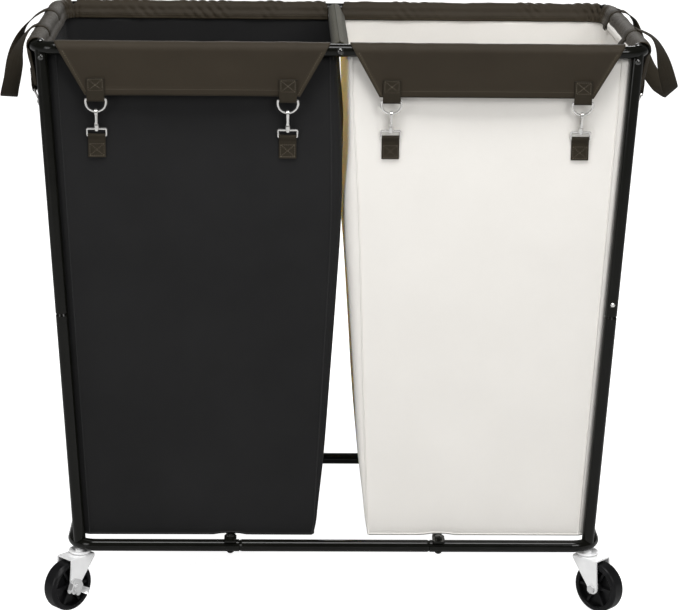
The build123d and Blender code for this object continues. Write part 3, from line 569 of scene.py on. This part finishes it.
def bag_ring(side, z):
    """Points round a bag at one height: front, outer end, rear and inner wall, each before its rounded corner."""
    inner, inner_seam, outer_seam, outer, depth = bag_shape(side, z)
    inner_turn, outer_turn = inner_seam - inner, outer - outer_seam
    walls = [
        ("front", (inner_seam, -depth), (outer_seam, -depth), outer_turn),
        ("outer", (outer, outer_turn - depth), (outer, depth - outer_turn), outer_turn),
        ("rear", (outer_seam, depth), (inner_seam, depth), inner_turn),
        ("inner", (inner, depth - inner_turn), (inner, inner_turn - depth), inner_turn),
    ]
    ways = [-BACK, RIGHT * side, BACK, RIGHT * -side]
    ring = []
    for index, (wall, first, last, turn) in enumerate(walls):
        start, end = (Vector((side * x, y, z)) for x, y in (first, last))
        out, after = ways[index], ways[(index + 1) % 4]
        steps = WALL_STEPS if wall in ("front", "rear") else END_STEPS
        for k in range(steps + 1):
            point = start.lerp(end, k / steps)
            ring.append(sagged(point + out * bag_swell(side, wall, k / steps, point)))
        for k in range(1, CORNER_STEPS):
            angle = pi / 2 * k / CORNER_STEPS
            ring.append(sagged(end + (out * (cos(angle) - 1) + after * sin(angle)) * turn))
    return ring if side > 0 else ring[::-1]


def bag(side, finish, label):
    form = Form()
    rows = []
    for k in range(BEND_STEPS + 1):
        angle = pi / 2 * k / BEND_STEPS
        ring = bag_ring(side, BAG_BOTTOM + BOTTOM_TURN * (1 - cos(angle)))
        middle = sum(ring, Vector()) / len(ring)
        draw_in = BOTTOM_TURN * (1 - sin(angle))
        rows.append([p - (p - middle).xy.normalized().to_3d() * draw_in for p in ring])
    rows += [bag_ring(side, BEND_TOP + (BAG_TOP - BEND_TOP) * k / LEVELS) for k in range(1, LEVELS + 1)]
    form.patch([[(p, (run, p.z)) for p, run in zip(row, lengths(row))] for row in rows], close_columns=True)
    # Bottom panel, joined to the lowest ring
    base, wide = rows[0], len(rows[0])
    middle = sum(base, Vector()) / wide
    panel = []
    for share in BOTTOM_SHARES:
        spots = [middle.lerp(p, share).xy.to_3d() + UP * (BAG_BOTTOM + BOTTOM_LIFT) for p in base]
        panel.append([(sagged(spot), spot.xy) for spot in spots])
    first = len(form.points)
    form.patch(panel, close_columns=True)
    for c in range(wide):
        form.faces.append((c, first + c, first + (c + 1) % wide, (c + 1) % wide))
    form.cap(first + (len(panel) - 1) * wide, wide)
    obj = form.piece(f"bag_{label}_cloth", finish, "frame", f"{label}_cloth")
    thicken(obj, CLOTH, -1.0)
    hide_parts(f"bag_{label}")
    return obj


bag(-1, BLACK, "black")
ivory_bag = bag(1, IVORY, "ivory")

# Light comes through the ivory bag's inner wall, the last in its rings, where it faces the black bag. These faces
# also take a tan copy of the ivory cloth, so the warm glow is partly painted into the colour, on top of the real
# light let through
ivory_bag.data.materials.append(IVORY_PAINTED_GLOW)
ivory_bag.modifiers["cloth_thickness"].material_offset = -1
ring_points = len(bag_ring(1, BAG_TOP))
wall_faces = ring_points * (BEND_STEPS + LEVELS)
painted_glow_end = ring_points - CORNER_STEPS
for face in ivory_bag.data.polygons:
    if face.index < wall_faces and painted_glow_end - END_STEPS <= face.index % ring_points < painted_glow_end:
        face.material_index = 1

# Raised seams up the corners and round the bottom. The black bag's seams take a lighter copy of its cloth, a painted
# highlight along them
for side, finish, label in ((-1, BLACK_SEAM_PAINTED_HIGHLIGHT, "black"), (1, IVORY, "ivory")):
    seams = Form()
    levels = [BEND_TOP + (BAG_TOP - BAG_BOTTOM - 5 * MM) * k / SEAM_STEPS for k in range(SEAM_STEPS + 1)]
    shapes = [bag_shape(side, z) for z in levels]
    for place in (1, 2):  # the inner and the outer seam of a shape
        for sign in (-1, 1):
            line = [(side * shape[place], sign * (shape[-1] + SEAM_OUT), z) for z, shape in zip(levels, shapes)]
            tube(seams, [sagged(Vector(spot)) for spot in line], SEAM_R, SEAM_SIDES)
    tube(seams, bag_ring(side, BEND_TOP), SEAM_R, SEAM_SIDES, closed=True)
    seams.piece(f"bag_{label}_seams", finish, "frame", f"{label}_cloth")


# Walls


class Wall:
    """A rail, by the way out of the frame and its reach, and the way along it and its half length."""

    def __init__(self, out, reach, along, length):
        self.out, self.reach, self.along = out, reach, along
        self.half = length - CORNER_R

    def rail(self, along):
        """Point on the rail's middle line, and the way out there, following the corner bends."""
        extra = abs(along) - self.half
        if extra <= 0:
            return self.out * self.reach + self.along * along + UP * RAIL_Z, self.out
        sign = 1 if along > 0 else -1
        angle = extra / CORNER_R
        centre = self.out * (self.reach - CORNER_R) + self.along * sign * self.half
        out = self.out * cos(angle) + self.along * sign * sin(angle)
        return centre + out * CORNER_R + UP * RAIL_Z, out


WALLS = {
    "front": Wall(-BACK, HALF_DEPTH, RIGHT, HALF_WIDTH),
    "rear": Wall(BACK, HALF_DEPTH, RIGHT, HALF_WIDTH),
    "left": Wall(-RIGHT, HALF_WIDTH, BACK, HALF_DEPTH),
    "right": Wall(RIGHT, HALF_WIDTH, BACK, HALF_DEPTH),
}


# Flaps

FALL_WAVES = ((0.9 * MM, 60 * MM, 0), (0.35 * MM, 20 * MM, 2))  # on the part that hangs
ROLL_WAVES = ((1.0, 35 * MM, 5), (0.5, 14 * MM, 7))  # on the part round the rail, in shares of its puff
PUFF = {"front": 0.5 * MM, "rear": 1.3 * MM, "end": 1.0 * MM}
ROLL_OUT = 0.4 * MM
SWELL_OUT, SWELL_UP = 2.2 * MM, 0.8 * MM  # of the hem between hooks
HEM_OUT, SIDE_HEM_OUT = 0.5 * MM, 0.6 * MM
CREASE, CREASE_PITCH, CREASE_SLANT = 1.5 * MM, 15 * MM, 0.9  # creases of the rear rolls
GATHER, GATHER_PITCH = 1.1 * MM, 11 * MM  # gathers at the ring's corners
PULL_FROM, PULL_TO = 12 * MM, 95 * MM  # how far a hook's pull reaches
CURL_ALONG, CURL_IN = 0.55, 0.8  # how far a curled edge moves, in shares of its width
EDGE_COLUMNS = (0, 3 * MM, EDGE_CURL, 6.9 * MM, SIDE_HEM, 8.5 * MM)  # columns of the mesh along a slanted edge
IN_STEPS, ROLL_STEPS, FALL_STEPS, ALONG_STEPS = 8, 14, 22, 150
ROW_STEPS, ROW_ENDS, SIDE_STEPS = 120, 4, 30  # of the rows of stitches


class Flap:
    """Cloth that comes up inside a rail, goes over it and hangs outside down to a hem."""

    def __init__(self, wall, start, end, hooks, radius, seed, puff, ears=(0, 0), curl=False, bag_up=0.0):
        self.wall, self.start, self.end = WALLS[wall], start, end
        self.hooks, self.radius, self.seed = hooks, radius, seed
        self.puff, self.ears, self.curl, self.bag_up = puff, ears, curl, bag_up
        self.arc = pi + FLAP_LEAN
        self.fall = (FLAP_DROP - radius * sin(FLAP_LEAN)) / cos(FLAP_LEAN)
        self.fall_from = FLAP_IN + self.arc * radius
        self.length = self.fall_from + self.fall

    def section(self, run):
        """Place out of and above the rail's middle, and the way out of the cloth, at run from the inner hem."""
        if run <= FLAP_IN:
            below = FLAP_IN - run
            return -self.radius - FLAP_STEP * ease(below, 0, 8 * MM), -below, -1.0, 0.0
        turned = (run - FLAP_IN) / self.radius
        if turned <= self.arc:
            angle = pi - turned
            return self.radius * cos(angle), self.radius * sin(angle), cos(angle), sin(angle)
        down = run - self.fall_from
        c, s = cos(FLAP_LEAN), sin(FLAP_LEAN)
        return self.radius * c - down * s, -self.radius * s - down * c, c, -s

    def inset(self, run):
        """How far the side edges have run in, from the rail's top down to the hem."""
        if run < FLAP_IN + self.radius * pi / 2:
            return 0.0
        return FLAP_INSET * (self.radius - self.section(run)[1]) / (self.radius + FLAP_DROP)

    def ear(self, run):
        """Share of the ears that is left at run, from the inner hem to the rail's top."""
        return 1 - ease(run, FLAP_IN, FLAP_IN + 1.1 * self.radius)

    def share_at(self, along, run):
        inset = self.inset(run)
        return (along - self.start - inset) / (self.end - self.start - 2 * inset)

    def pull(self, along):
        """1 at a hook, falling to 0 away from it."""
        return max(1 - ease(abs(along - hook), PULL_FROM, PULL_TO) for hook in self.hooks)

    def at(self, share, run):
        """Point and outward direction at a share of the flap's length and a run down its cut."""
        down = max(0.0, run - self.fall_from)
        out, up, out_n, up_n = self.section(run)
        inset = self.inset(run)
        before, after = (ear * self.ear(run) for ear in self.ears)
        wide = self.end - self.start - 2 * inset + before + after
        along = self.start + inset - before + wide * share
        rail, way = self.wall.rail(along)
        spot = rail + way * out + UP * up
        normal = (way * out_n + UP * up_n).normalized()
        low = ease(down, 0, self.fall)
        free = low * (1 - self.pull(along))
        hem = HEM_OUT * ease(run, self.length - HEM - 1.5 * MM, self.length - HEM)
        if down > 0:
            edge = min(share, 1 - share) * wide
            hem = max(hem, SIDE_HEM_OUT * (1 - ease(edge, SIDE_HEM - 1.2 * MM, SIDE_HEM)))
        roll = ROLL_OUT + self.puff * waves(spot, ROLL_WAVES, self.seed)
        if any(self.ears):
            depth = CREASE * max(0.0, 0.25 + soft_noise(spot, 50 * MM, self.seed + 11)) * ease(run, 0, 6 * MM)
            roll += depth * sin(2 * pi * (along + CREASE_SLANT * run) / CREASE_PITCH)
        bend = ease(abs(along) - self.wall.half, -14 * MM, 8 * MM)
        bend *= 1 - ease(run, FLAP_IN, FLAP_IN + 2 * self.radius)
        roll_off = roll * (1 - low) + GATHER * bend * sin(2 * pi * along / GATHER_PITCH)
        off = waves(spot, FALL_WAVES, self.seed) * low + free * SWELL_OUT + hem + roll_off
        spot += normal * off + UP * free * SWELL_UP
        if self.curl and down > 0 and share * wide < EDGE_CURL:
            # The edge next to the front post turns in, so that it faces the front
            turn = (EDGE_CURL - share * wide) * ease(down, 0, 12 * MM)
            spot += self.wall.along * CURL_ALONG * turn - normal * CURL_IN * turn
        return spot, normal


def flap_cloth(flap, node):
    form = Form()
    runs = [FLAP_IN * k / IN_STEPS for k in range(IN_STEPS + 1)]
    runs += [FLAP_IN + flap.arc * flap.radius * k / ROLL_STEPS for k in range(1, ROLL_STEPS + 1)]
    runs += [flap.fall_from + flap.fall * k / FALL_STEPS for k in range(1, FALL_STEPS + 1)]
    wide = flap.end - flap.start
    edge = [d / wide for d in EDGE_COLUMNS]
    shares = edge + [edge[-1] + (1 - 2 * edge[-1]) * k / ALONG_STEPS for k in range(1, ALONG_STEPS)]
    shares += [1 - e for e in reversed(edge)]
    form.patch([[(flap.at(e, run)[0], (flap.start + wide * e, run)) for e in shares] for run in runs])
    obj = form.piece(f"{node}_cloth", OLIVE, "frame", "olive_cloth")
    thicken(obj, CLOTH)
    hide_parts(node)
    # The folded bands along the slanted edges and the inner hem take a lighter copy of the olive, a painted
    # highlight. Below that hem the right bag's own cloth shows
    obj.data.materials.append(OLIVE_HEM_PAINTED_HIGHLIGHT)
    obj.data.materials.append(IVORY)
    band, columns = len(edge) - 3, len(shares) - 1
    for face in obj.data.polygons:
        row, column = divmod(face.index, columns)
        run, side = runs[row], min(column, columns - 1 - column)
        if run < flap.bag_up and flap.start + wide * shares[column] < BAG_UP_TO:
            face.material_index = 2
        elif run < flap.bag_up + 2 * MM or run >= flap.fall_from and side < band:
            face.material_index = 1
    area = wide * flap.fall_from + (wide - FLAP_INSET) * flap.fall + sum(flap.ears) * FLAP_IN
    wide += sum(flap.ears)


def flap_stitches(form, line):
    """Stitches on a flap's outer side, along a line of places on it."""
    stitch_run(form, [p + n * (CLOTH / 2 + 0.1 * MM) for p, n in line], [n for _, n in line])


FLAPS = {}
thread = Form()
for side, colour, end_name in ((-1, "black", "left"), (1, "ivory", "right")):
    for place in ("front", "rear"):
        rear = place == "rear"
        reach = FLAP_TO[place] - REAR_LEFT * (rear and side < 0)
        start, end = sorted((side * FLAP_FROM, side * reach))
        hooks = [side * x for x in FRONT_HOOKS]
        ears = (FLAP_EAR, CENTRE_EAR)[::-side] if rear else (0, 0)
        FLAPS[(side, place)] = Flap(place, start, end, hooks, FLAP_R, side + 1.5 + rear, PUFF[place], ears)
    start, end = -END_FLAP_TO[0], END_FLAP_TO[1] + REAR_LEFT * (side < 0)
    FLAPS[(side, "end")] = Flap(
        end_name, start, end, [-END_HOOK, END_HOOK], END_FLAP_R, side + 6.5, PUFF["end"], curl=True,
        bag_up=BAG_UP * (side > 0),
    )
    for place in ("front", "rear", "end"):
        flap = FLAPS[(side, place)]
        flap_cloth(flap, f"flap_{colour}_{place}")
        # Rows of stitches: hem, inner edge and both slanted edges
        across = [k / ROW_STEPS for k in range(ROW_STEPS + 1)]
        flap_stitches(thread, [flap.at(share, flap.length - HEM_STITCH) for share in across[ROW_ENDS:-ROW_ENDS]])
        flap_stitches(thread, [flap.at(share, flap.bag_up + INNER_STITCH) for share in across])
        near = SIDE_STITCH / (flap.end - flap.start)
        for share in (near, 1 - near):
            line = [flap.at(share, flap.fall_from + flap.fall * k / SIDE_STEPS) for k in range(SIDE_STEPS)]
            flap_stitches(thread, line)
thread.piece("flap_stitching", THREAD, "frame", "olive_cloth")


# Sleeve over the centre bar, one half on each bag, joined by a raised seam

SLEEVE_R = BAR_R + 1.3 * MM
SLEEVE_T = 0.9 * MM
SLEEVE_REACH = HALF_DEPTH - TUBE_R - 3 * MM
SLEEVE_DROP = 15 * MM
SLEEVE_LEAN = {-1: 0.0, 1: 5.2 * MM}  # how far its lower edge goes in, to hang inside the bag's inner wall
SLEEVE_SEAM = ((0.25 * MM, 2.0 * MM), (0.3 * MM, 0.8 * MM))  # beside the bar's middle and above the sleeve
SLEEVE_STEPS, TURN_STEPS, DROP_STEPS = 60, 9, 5


def sleeve(side, node):
    form = Form()
    profile = [(x, SLEEVE_R + up) for x, up in SLEEVE_SEAM]
    for j in range(1, TURN_STEPS + 1):
        angle = pi / 2 * (1 - j / TURN_STEPS)
        profile.append((SLEEVE_R * cos(angle), SLEEVE_R * sin(angle)))
    for j in range(1, DROP_STEPS + 1):
        profile.append((SLEEVE_R + SLEEVE_LEAN[side] * ease(j, 0, 3), -SLEEVE_DROP * j / DROP_STEPS))
    runs = lengths(profile)
    rows = []
    for k in range(SLEEVE_STEPS + 1):
        y = -SLEEVE_REACH + 2 * SLEEVE_REACH * k / SLEEVE_STEPS
        row = []
        for (x, z), run in zip(profile, runs):
            spot = Vector((side * x, y, RAIL_Z + z))
            if len(row) > len(SLEEVE_SEAM):
                wave = 0.5 * MM * soft_noise(spot, 20 * MM, 3.0 + side)
                spot += Vector((side * x, 0, z)).normalized() * abs(wave)
            row.append((spot, (run, y)))
        rows.append(row)
    form.patch(rows)
    obj = form.piece(f"{node}_cloth", SLEEVE, "frame", "olive_cloth")
    thicken(obj, SLEEVE_T)
    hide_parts(node)


sleeve(-1, "flap_black_centre")
sleeve(1, "flap_ivory_centre")


# Straps on flaps and bags


def hook_line(wall, along):
    """Middles of the D ring's bar and the loop's lower bar, as the frame has them, and the bag's way out."""
    place = WALLS[wall]
    down = place.out * -sin(FLAP_LEAN) - UP * cos(FLAP_LEAN)
    out = place.out * cos(FLAP_LEAN) - UP * sin(FLAP_LEAN)
    run = (FLAP_DROP - CAD_FLAP_R * sin(FLAP_LEAN)) / cos(FLAP_LEAN)
    rail, _ = place.rail(along)
    bar = rail + out * CAD_FLAP_R + down * (run + STRAP_FREE) + out * CAD_BAR_OFF
    top_reach, low_reach = (BAG_OUTER_TOP, BAG_OUTER_BOTTOM) if wall in ENDS else (BAG_DEPTH_TOP, BAG_DEPTH_BOTTOM)
    lean = atan2(top_reach - low_reach, BAG_TOP - BAG_BOTTOM)
    wall_up = place.out * sin(lean) + UP * cos(lean)
    wall_out = place.out * cos(lean) - UP * sin(lean)
    foot = place.out * low_reach + place.along * along + UP * BAG_BOTTOM + wall_out * CAD_EYE_OFF
    offset = bar - foot
    away = offset.dot(wall_out)
    low_bar = foot + wall_up * (offset.dot(wall_up) - sqrt(CHAIN**2 - away**2))
    return bar, low_bar, wall_out


def box_stitches(form, end, along, up, out, rise, height):
    """Rectangle of stitches with its two diagonals on a strap, from rise above one of its ends."""
    a = end + out * (STRAP_T / 2 + 0.05 * MM) + up * rise - along * BOX_W / 2
    b = a + along * BOX_W
    c, d = b + up * height, a + up * height
    for line in ((a, b), (b, c), (c, d), (d, a), (a, c), (b, d)):
        stitch_run(form, line, [out, out], **BOX_STITCH)


def round_bar(bar, out, way):
    """Half turn of a strap round a wire, from its outer side over it for way 1 or under it for way -1."""
    angles = [way * pi * k / STRAP_STEPS for k in range(STRAP_STEPS + 1)]
    return [bar + out * EYE * cos(angle) + UP * EYE * sin(angle) for angle in angles]


def place_on_bag(wall, side, along, z):
    """Point on a bag's outer cloth, at a place along a wall and a height."""
    _, inner_seam, outer_seam, outer, depth = bag_shape(side, z)
    out = WALLS[wall].out
    if wall in ENDS:
        reach = depth - (outer - outer_seam)
        wall, share, point = "outer", (along + reach) / (2 * reach), out * outer + BACK * along
    else:
        share, point = (abs(along) - inner_seam) / (outer_seam - inner_seam), out * depth + RIGHT * along
    point.z = z
    return point + out * bag_swell(side, wall, min(max(share, 0), 1), point)


# Both layers of a strap off the cloth, in strap thicknesses, and its box of stitches: rise and height
UPPER_OUTER, UPPER_INNER, UPPER_BOX = 1.55, 0.52, (-17.5 * MM, 16 * MM)
LOWER_OUTER, LOWER_INNER, LOWER_BOX = 1.6, 0.56, (2.5 * MM, 17 * MM)
BOX_W = STRAP_W - 5 * MM
BOX_STITCH = {"pitch": 2.6 * MM, "length": 2.4 * MM, "width": 1.1 * MM, "height": 0.55 * MM}
STRAP_STEPS = 8

hooks = [(wall, s * x) for wall in ("front", "rear") for s in (-1, 1) for x in FRONT_HOOKS]
hooks += [(wall, s * END_HOOK) for wall in ENDS for s in (-1, 1)]
flap_straps, bag_straps, strap_thread = Form(), Form(), Form()
for wall, along in hooks:
    way = WALLS[wall].along
    side = ENDS.get(wall, -1 if along < 0 else 1)
    flap = FLAPS[(side, "end" if wall in ENDS else wall)]
    bar, low_bar, wall_out = hook_line(wall, along)
    steps = [k / STRAP_STEPS for k in range(STRAP_STEPS + 1)]

    # Upper strap: two layers down from the flap, round the bar of the ring
    runs = [flap.length - STRAP_SEWN + STRAP_SEWN * step for step in steps]
    flap_line = [flap.at(flap.share_at(along, run), run) for run in runs]
    outer = [p + n * (CLOTH / 2 + UPPER_OUTER * STRAP_T) for p, n in flap_line]
    inner = [p + n * (CLOTH / 2 + UPPER_INNER * STRAP_T) for p, n in flap_line]
    turn = round_bar(bar, flap_line[-1][1], -1)
    line = outer + [outer[-1].lerp(turn[0], 0.5)] + turn + [turn[-1].lerp(inner[-1], 0.5)] + inner[::-1]
    ribbon(flap_straps, line, [way] * len(line), STRAP_W, STRAP_T)
    up = (outer[0] - outer[-1]).normalized()
    box_stitches(strap_thread, outer[0], way, up, flap_line[0][1], *UPPER_BOX)

    # Lower strap: two layers on the bag, up and round the lower bar of the loop, clear of the bag's cloth
    levels = [low_bar.z - BAG_STRAP_GAP - (BAG_STRAP - BAG_STRAP_GAP) * step for step in steps]
    bag_line = [place_on_bag(wall, side, along, z) for z in levels]
    outer = [p + wall_out * LOWER_OUTER * STRAP_T for p in bag_line]
    inner = [p + wall_out * LOWER_INNER * STRAP_T for p in bag_line]
    turn = []
    for spot in round_bar(low_bar, wall_out, 1):
        off = (spot - place_on_bag(wall, side, along, spot.z)).dot(wall_out)
        turn.append(spot + wall_out * max(0.0, LOWER_INNER * STRAP_T - off))
    line = outer[::-1] + turn + inner
    ribbon(bag_straps, line, [way] * len(line), STRAP_W, STRAP_T)
    up = (outer[0] - outer[-1]).normalized()
    box_stitches(strap_thread, outer[-1], way, up, wall_out, *LOWER_BOX)
upper = flap_straps.piece("flap_strap_webbing", WEBBING, "frame", "webbing")
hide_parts("flap_straps")
lower = bag_straps.piece("bag_strap_webbing", WEBBING, "frame", "webbing")
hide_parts("bag_straps")
strap_thread.piece("strap_stitching", THREAD, "frame", "webbing")


# Handles: webbing over a side rail at two places, twisting as it hangs in a loop


def curve_points(knots, count):
    """Evenly stepped points on a rounded curve through knots."""
    pts = [knots[0]] + knots + [knots[-1]]
    spans = len(knots) - 1
    out = []
    for k in range(count + 1):
        i = min(spans * k // count, spans - 1)
        out.append(curve(*pts[i:i + 4], spans * k / count - i))
    return out


HANDLE_T = 1.7 * MM
WRAP_T = 1.2 * MM
WRAP_R = END_FLAP_R + CLOTH / 2 + 0.9 * MM  # sewn band round the rail's flap
OVER_RAIL = WRAP_R + WRAP_T / 2 + HANDLE_T / 2 + 0.2 * MM
OVER_ANGLES, WRAP_ANGLES = (80, 70, 58), range(70, 181, 10)  # of a handle and its band, in degrees round the rail
HANDLE_STEPS, BAND_STEPS = 170, 40

# Each leg from the rail down, in mm: out from the rail's middle, up, along the rail, share of the quarter twist. Then
# the bottom of the loop, the way of its width, out and up, and the tails of the sewn bands inside the rail
HANDLES = {
    "left": {
        "front": [
            (14, 9, -72, 0), (22, -1, -71, 0.12), (32, -20, -67, 0.35),
            (40, -46, -60, 0.7), (47, -74, -50, 0.95), (53, -95, -36, 1),
        ],
        "rear": [
            (13, 10, 80, 0), (26, 1, 79, 0.03), (41, -16, 75, 0.15),
            (51, -44, 66, 0.5), (56, -75, 56, 0.9), (58, -96, 40, 1),
        ],
        "bottom": [(55, -101.5, -18), (56, -103, 0), (57.5, -102, 20)],
        "flat": (1.0, 0.05),
        "tails": [[(-13, -6), (-13.5, -12), (-14, -18)]] * 2,
    },
    "right": {
        "front": [
            (14, 10, -72, 0), (27, 2, -71, 0.1), (38, -14, -68, 0.35),
            (48, -40, -62, 0.7), (57, -66, -52, 0.95), (64, -83, -38, 1),
        ],
        "rear": [
            (13, 11, 116, 0), (22, 4, 115, 0.05), (29, -8, 110, 0.2),
            (35, -38, 98, 0.6), (44, -66, 78, 0.9), (57, -86, 48, 1),
        ],
        "bottom": [(66.5, -87.5, -18), (66.5, -90, 2), (63, -89.5, 24)],
        "flat": (0.74, 0.67),
        "tails": [[(-18, -6), (-22.5, -14), (-24, -23), (-23, -31)], [(-15, -5), (-18, -10), (-18.5, -16)]],
    },
}


def turned(way, flat, share):
    """Way of the webbing's width, from along the rail to flat as share goes from 0 to 1."""
    return (BACK * (1 - share) * way + flat * share).normalized()


def round_rail(radius, degrees):
    """Place out of and above a rail's middle, in mm."""
    return radius / MM * cos(radians(degrees)), radius / MM * sin(radians(degrees))


for label, side in ENDS.items():
    out = RIGHT * side
    rail = out * HALF_WIDTH + UP * RAIL_Z
    lay = HANDLES[label]
    flat_way = (out * lay["flat"][0] + UP * lay["flat"][1]).normalized()

    def spot(u, v, y):
        return rail + out * u * MM + UP * v * MM + BACK * y * MM

    front, rear = (
        [(*round_rail(OVER_RAIL, a), lay[end][0][2], 0) for a in OVER_ANGLES] + lay[end] for end in ("front", "rear")
    )
    knots = [spot(*place) for *place, _ in front] + [spot(*place) for place in lay["bottom"]]
    ways = [turned(1, flat_way, twist) for *_, twist in front] + [flat_way] * len(lay["bottom"])
    knots += [spot(*place) for *place, _ in reversed(rear)]
    ways += [turned(-1, flat_way, twist) for *_, twist in reversed(rear)]
    form = Form()
    ribbon(form, curve_points(knots, HANDLE_STEPS), curve_points(ways, HANDLE_STEPS), STRAP_W, HANDLE_T)
    handle = form.piece(f"handle_{label}_webbing", WEBBING, f"handle_{label}", "webbing")
    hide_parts(f"handle_{label}")

    # Sewn band under each end of the handle, whose tail hangs inside the rail
    bands = Form()
    for end, tail in zip(("front", "rear"), lay["tails"]):
        line = [round_rail(WRAP_R, a) for a in WRAP_ANGLES] + tail
        line = curve_points([spot(*place, lay[end][0][2]) for place in line], BAND_STEPS)
        ribbon(bands, line, [BACK] * len(line), STRAP_W, WRAP_T)
    bands.piece(f"handle_{label}_bands", WEBBING, "frame", "webbing")


# Screw heads on the front of the front posts, just below the ring

POST_SCREW_Z = RAIL_Z - 13.5 * MM
POST_SCREW_R, POST_SCREW_H = 4.6 * MM, 2.8 * MM
POST_SCREW_IN = 0.8 * MM  # how deep its edge lies in the tube
DOME_ROWS, DOME_SIDES = 6, 18


def dome(form, middle, out, radius, height):
    """Low round screw head that stands out of a tube."""
    side = out.orthogonal().normalized()
    other = out.cross(side)
    turns = [2 * pi * j / DOME_SIDES for j in range(DOME_SIDES)]
    rows = []
    for k in range(DOME_ROWS):
        rise = pi / 2 * k / DOME_ROWS
        top, reach = middle + out * height * sin(rise), radius * cos(rise)
        rows.append([(top + (side * cos(t) + other * sin(t)) * reach, (radius * t, height * rise)) for t in turns])
    first = len(form.points)
    form.patch(rows, close_columns=True)
    form.cap(first + (DOME_ROWS - 1) * DOME_SIDES, DOME_SIDES)
    form.cap(first, DOME_SIDES, True)


heads = Form()
for label, side in ENDS.items():
    low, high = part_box(f"post_upper_front_{label}")
    top_x = side * (max(abs(low.x), abs(high.x)) - TUBE_R)
    dome(heads, Vector((top_x, low.y + POST_SCREW_IN, POST_SCREW_Z)), -BACK, POST_SCREW_R, POST_SCREW_H)
heads.piece("post_screw_heads", SCREWS, "frame", "black_screws")


# Studio: pale floor, soft light, camera

FLOOR_HALF = 30.0
FLOOR_GREY = 0.55
FLOOR_SEEN = 0.94  # its own light, for the camera only
SKY_LIGHT, SKY_SEEN = 0.42, 1.05
SKY_GLOSS_CUT = 0.32  # how much weaker the sky is in reflections

# Lamps: place, what they point at, width and height in metres, watts
LAMPS = {
    "key": ((1.5, -2.8, 2.1), (0, 0, 0.4), (1.2, 1.2), 39),
    "fill": ((-2.4, -2.3, 1.1), (0, 0, 0.35), (1.0, 1.6), 23),
    "top": ((0, -1.0, 2.8), (0, 0.1, 0.6), (2.0, 0.9), 56),
    "back": ((0.4, 2.9, 1.9), (0, 0, 0.4), (1.6, 1.2), 24),
}

mesh = bpy.data.meshes.new("floor")
corners = [(x * FLOOR_HALF, y * FLOOR_HALF, 0) for x, y in ((-1, -1), (1, -1), (1, 1), (-1, 1))]
mesh.from_pydata(corners, [], [(0, 1, 2, 3)])
mat, n, sockets = material("pale_floor", {
    "Base Color": (*[FLOOR_GREY] * 3, 1),
    "Roughness": 0.9,
    "Specular IOR Level": 0.0,
    "Emission Color": (1, 1, 1, 1),
})
seen = n.add("ShaderNodeLightPath").outputs["Is Camera Ray"]
n.link(n.math("MULTIPLY", seen, FLOOR_SEEN), sockets["Emission Strength"])
mesh.materials.append(mat)
floor = put("floor", mesh)
floor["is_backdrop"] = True

world = bpy.data.worlds.new("studio")
scene.world = world
world.use_nodes = True
sky = world.node_tree.nodes["Background"].inputs
sky["Color"].default_value = (1, 1, 1, 1)
n = Nodes(world.node_tree)
path = n.add("ShaderNodeLightPath").outputs
plain = spread(n, path["Is Camera Ray"], SKY_LIGHT, SKY_SEEN)
n.link(n.math("SUBTRACT", plain, n.math("MULTIPLY", path["Is Glossy Ray"], SKY_GLOSS_CUT)), sky["Strength"])

for name, (place, target, size, power) in LAMPS.items():
    light = bpy.data.lights.new(name, "AREA")
    light.shape = "RECTANGLE"
    light.size, light.size_y = size
    light.energy = power
    lamp = put(name, light)
    lamp.location = place
    lamp.rotation_euler = (Vector(target) - Vector(place)).to_track_quat("-Z", "Y").to_euler()

LENS_PIXELS = 2442.2  # length of the lens, in pixels of the picture
PICTURE_PIXELS, SENSOR_WIDTH = 679, 36
CAMERA_AT = Vector((-0.0824, -3.5953, 1.3903))
PITCH, YAW, ROLL = 0.26565, 0.0252, 0.0122

data = bpy.data.cameras.new("camera")
data.sensor_fit = "HORIZONTAL"
data.sensor_width = SENSOR_WIDTH
data.lens = LENS_PIXELS * SENSOR_WIDTH / PICTURE_PIXELS
camera = put("camera", data)
turn = Matrix.Rotation(-YAW, 4, "Z") @ Matrix.Rotation(pi / 2 - PITCH, 4, "X")
camera.matrix_world = Matrix.Translation(CAMERA_AT) @ turn @ Matrix.Rotation(ROLL, 4, "Z")
scene.camera = camera
scene.view_settings.view_transform = "Standard"

low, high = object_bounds()
